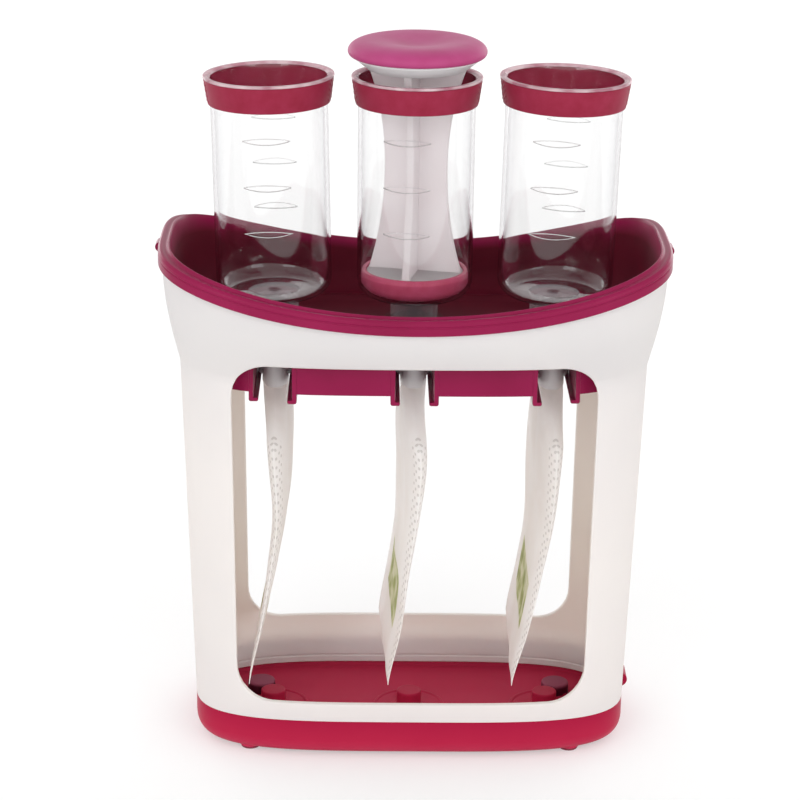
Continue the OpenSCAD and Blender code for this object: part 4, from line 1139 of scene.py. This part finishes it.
boat_low, boat_high, half_boat_w, half_boat_l = 152.9, 163.0, 5.5, 11.9
bore_r, root_r, flange_r, spout_r = 2.7, 4.3, 7.3, 4.8
flange_low, flange_high, spout_top = 156.9, 158.5, 171.4
neck_line = rounded([
    (bore_r, boat_low + 0.3), (root_r, boat_low + 0.3), (root_r, flange_low, 0.2), (flange_r, flange_low, 0.3),
    (flange_r, flange_high, 0.3), (spout_r, flange_high, 0.5), (spout_r, spout_top, 0.6),
    (bore_r, spout_top, 0.4)
], 4)
for index, name in enumerate(("left", "centre", "right")):
    x = (index - 1) * tube_pitch
    boat = [
        [(x + half_boat_w * math.copysign(abs(math.cos(t)) ** 0.8, math.cos(t)) * s, half_boat_l * math.sin(t) * s, z)
         for t in [2 * math.pi * k / 64 for k in range(64)]]
        for z, s in ((boat_low, 0.9), (boat_low + 0.7, 1.0), (boat_high - 0.6, 1.0), (boat_high, 0.93))
    ]
    neck = turned(neck_line, (x, 0), 72, closed=True)
    spout = solid("pouch_%s_spout" % name, [joined(boat), neck], white_polypropylene)
    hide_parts("spout_" + name)
    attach(spout, "pouch_" + name)

# ---- Studio ----
# A plain white table that keeps the object's soft shadow, a white surround, and four soft
# lamps. The surround's diffuse light is strongest at the horizon, to reach under the tray.

table_white = material("studio_table_white")
tree = table_white.node_tree
path = node(tree, "LightPath", {})
paper = node(tree, "BsdfDiffuse", {"Color": (0.62, 0.62, 0.62, 1)})
fill = node(tree, "Emission", {"Color": (1, 1, 1, 1), "Strength": 0.38})
direct = node(tree, "Math", {
    "operation": "MAXIMUM", 0: path.outputs["Is Camera Ray"], 1: path.outputs["Is Transmission Ray"]})
lit = node(tree, "AddShader", {0: paper.outputs[0], 1: fill.outputs[0]})
plain = node(tree, "BsdfDiffuse", {"Color": (0.9, 0.9, 0.9, 1)})
both = node(tree, "MixShader", {"Fac": direct.outputs[0], 1: plain.outputs[0], 2: lit.outputs[0]})
node(tree, "OutputMaterial", {"Surface": both.outputs[0]})
floor = solid("studio_table", [grid([[(x, y, 0.0) for x in (-6000, 6000)] for y in (-4000, 8000)])], table_white)

world = bpy.data.worlds.new("studio_surround")
bpy.context.scene.world = world
world.use_nodes = True
tree = world.node_tree
tree.nodes.clear()
path = node(tree, "LightPath", {})
seen = node(tree, "Math", {
    "operation": "MAXIMUM", 0: path.outputs["Is Camera Ray"], 1: path.outputs["Is Transmission Ray"]})
seen = node(tree, "Math", {"operation": "MAXIMUM", 0: seen.outputs[0], 1: path.outputs["Is Glossy Ray"]})
place = node(tree, "TexCoord", {})
axes = node(tree, "SeparateXYZ", {"Vector": place.outputs["Generated"]})
glow = node(tree, "MapRange", {"Value": axes.outputs["Z"], "To Min": 2.0, "To Max": 0.45})
strength = node(tree, "MapRange", {"Value": seen.outputs[0], "To Min": glow.outputs[0], "To Max": 1.0})
sky = node(tree, "Background", {"Color": (1, 1, 1, 1), "Strength": strength.outputs[0]})
node(tree, "OutputWorld", {"Surface": sky.outputs[0]})

for name, spot, aim, size, watts in (
    ("lamp_left", (-1.2, -1.7, 0.8), (0, 0, 0.12), 1.0, 6),
    ("lamp_right", (1.3, -1.6, 0.7), (0, 0, 0.12), 1.0, 5),
    ("lamp_back_left", (-0.95, 1.5, 0.4), (0, 0, 0.1), 0.9, 4),
    ("lamp_back_right", (0.95, 1.5, 0.4), (0, 0, 0.1), 0.9, 4),
):
    lamp = bpy.data.objects.new(name, bpy.data.lights.new(name, "AREA"))
    lamp.data.shape = "SQUARE"
    lamp.data.size = size
    lamp.data.energy = watts
    lamp.location = spot
    lamp.rotation_euler = (Vector(aim) - Vector(spot)).to_track_quat("-Z", "Y").to_euler()
    bpy.context.scene.collection.objects.link(lamp)

bpy.context.scene.view_settings.view_transform = "Standard"
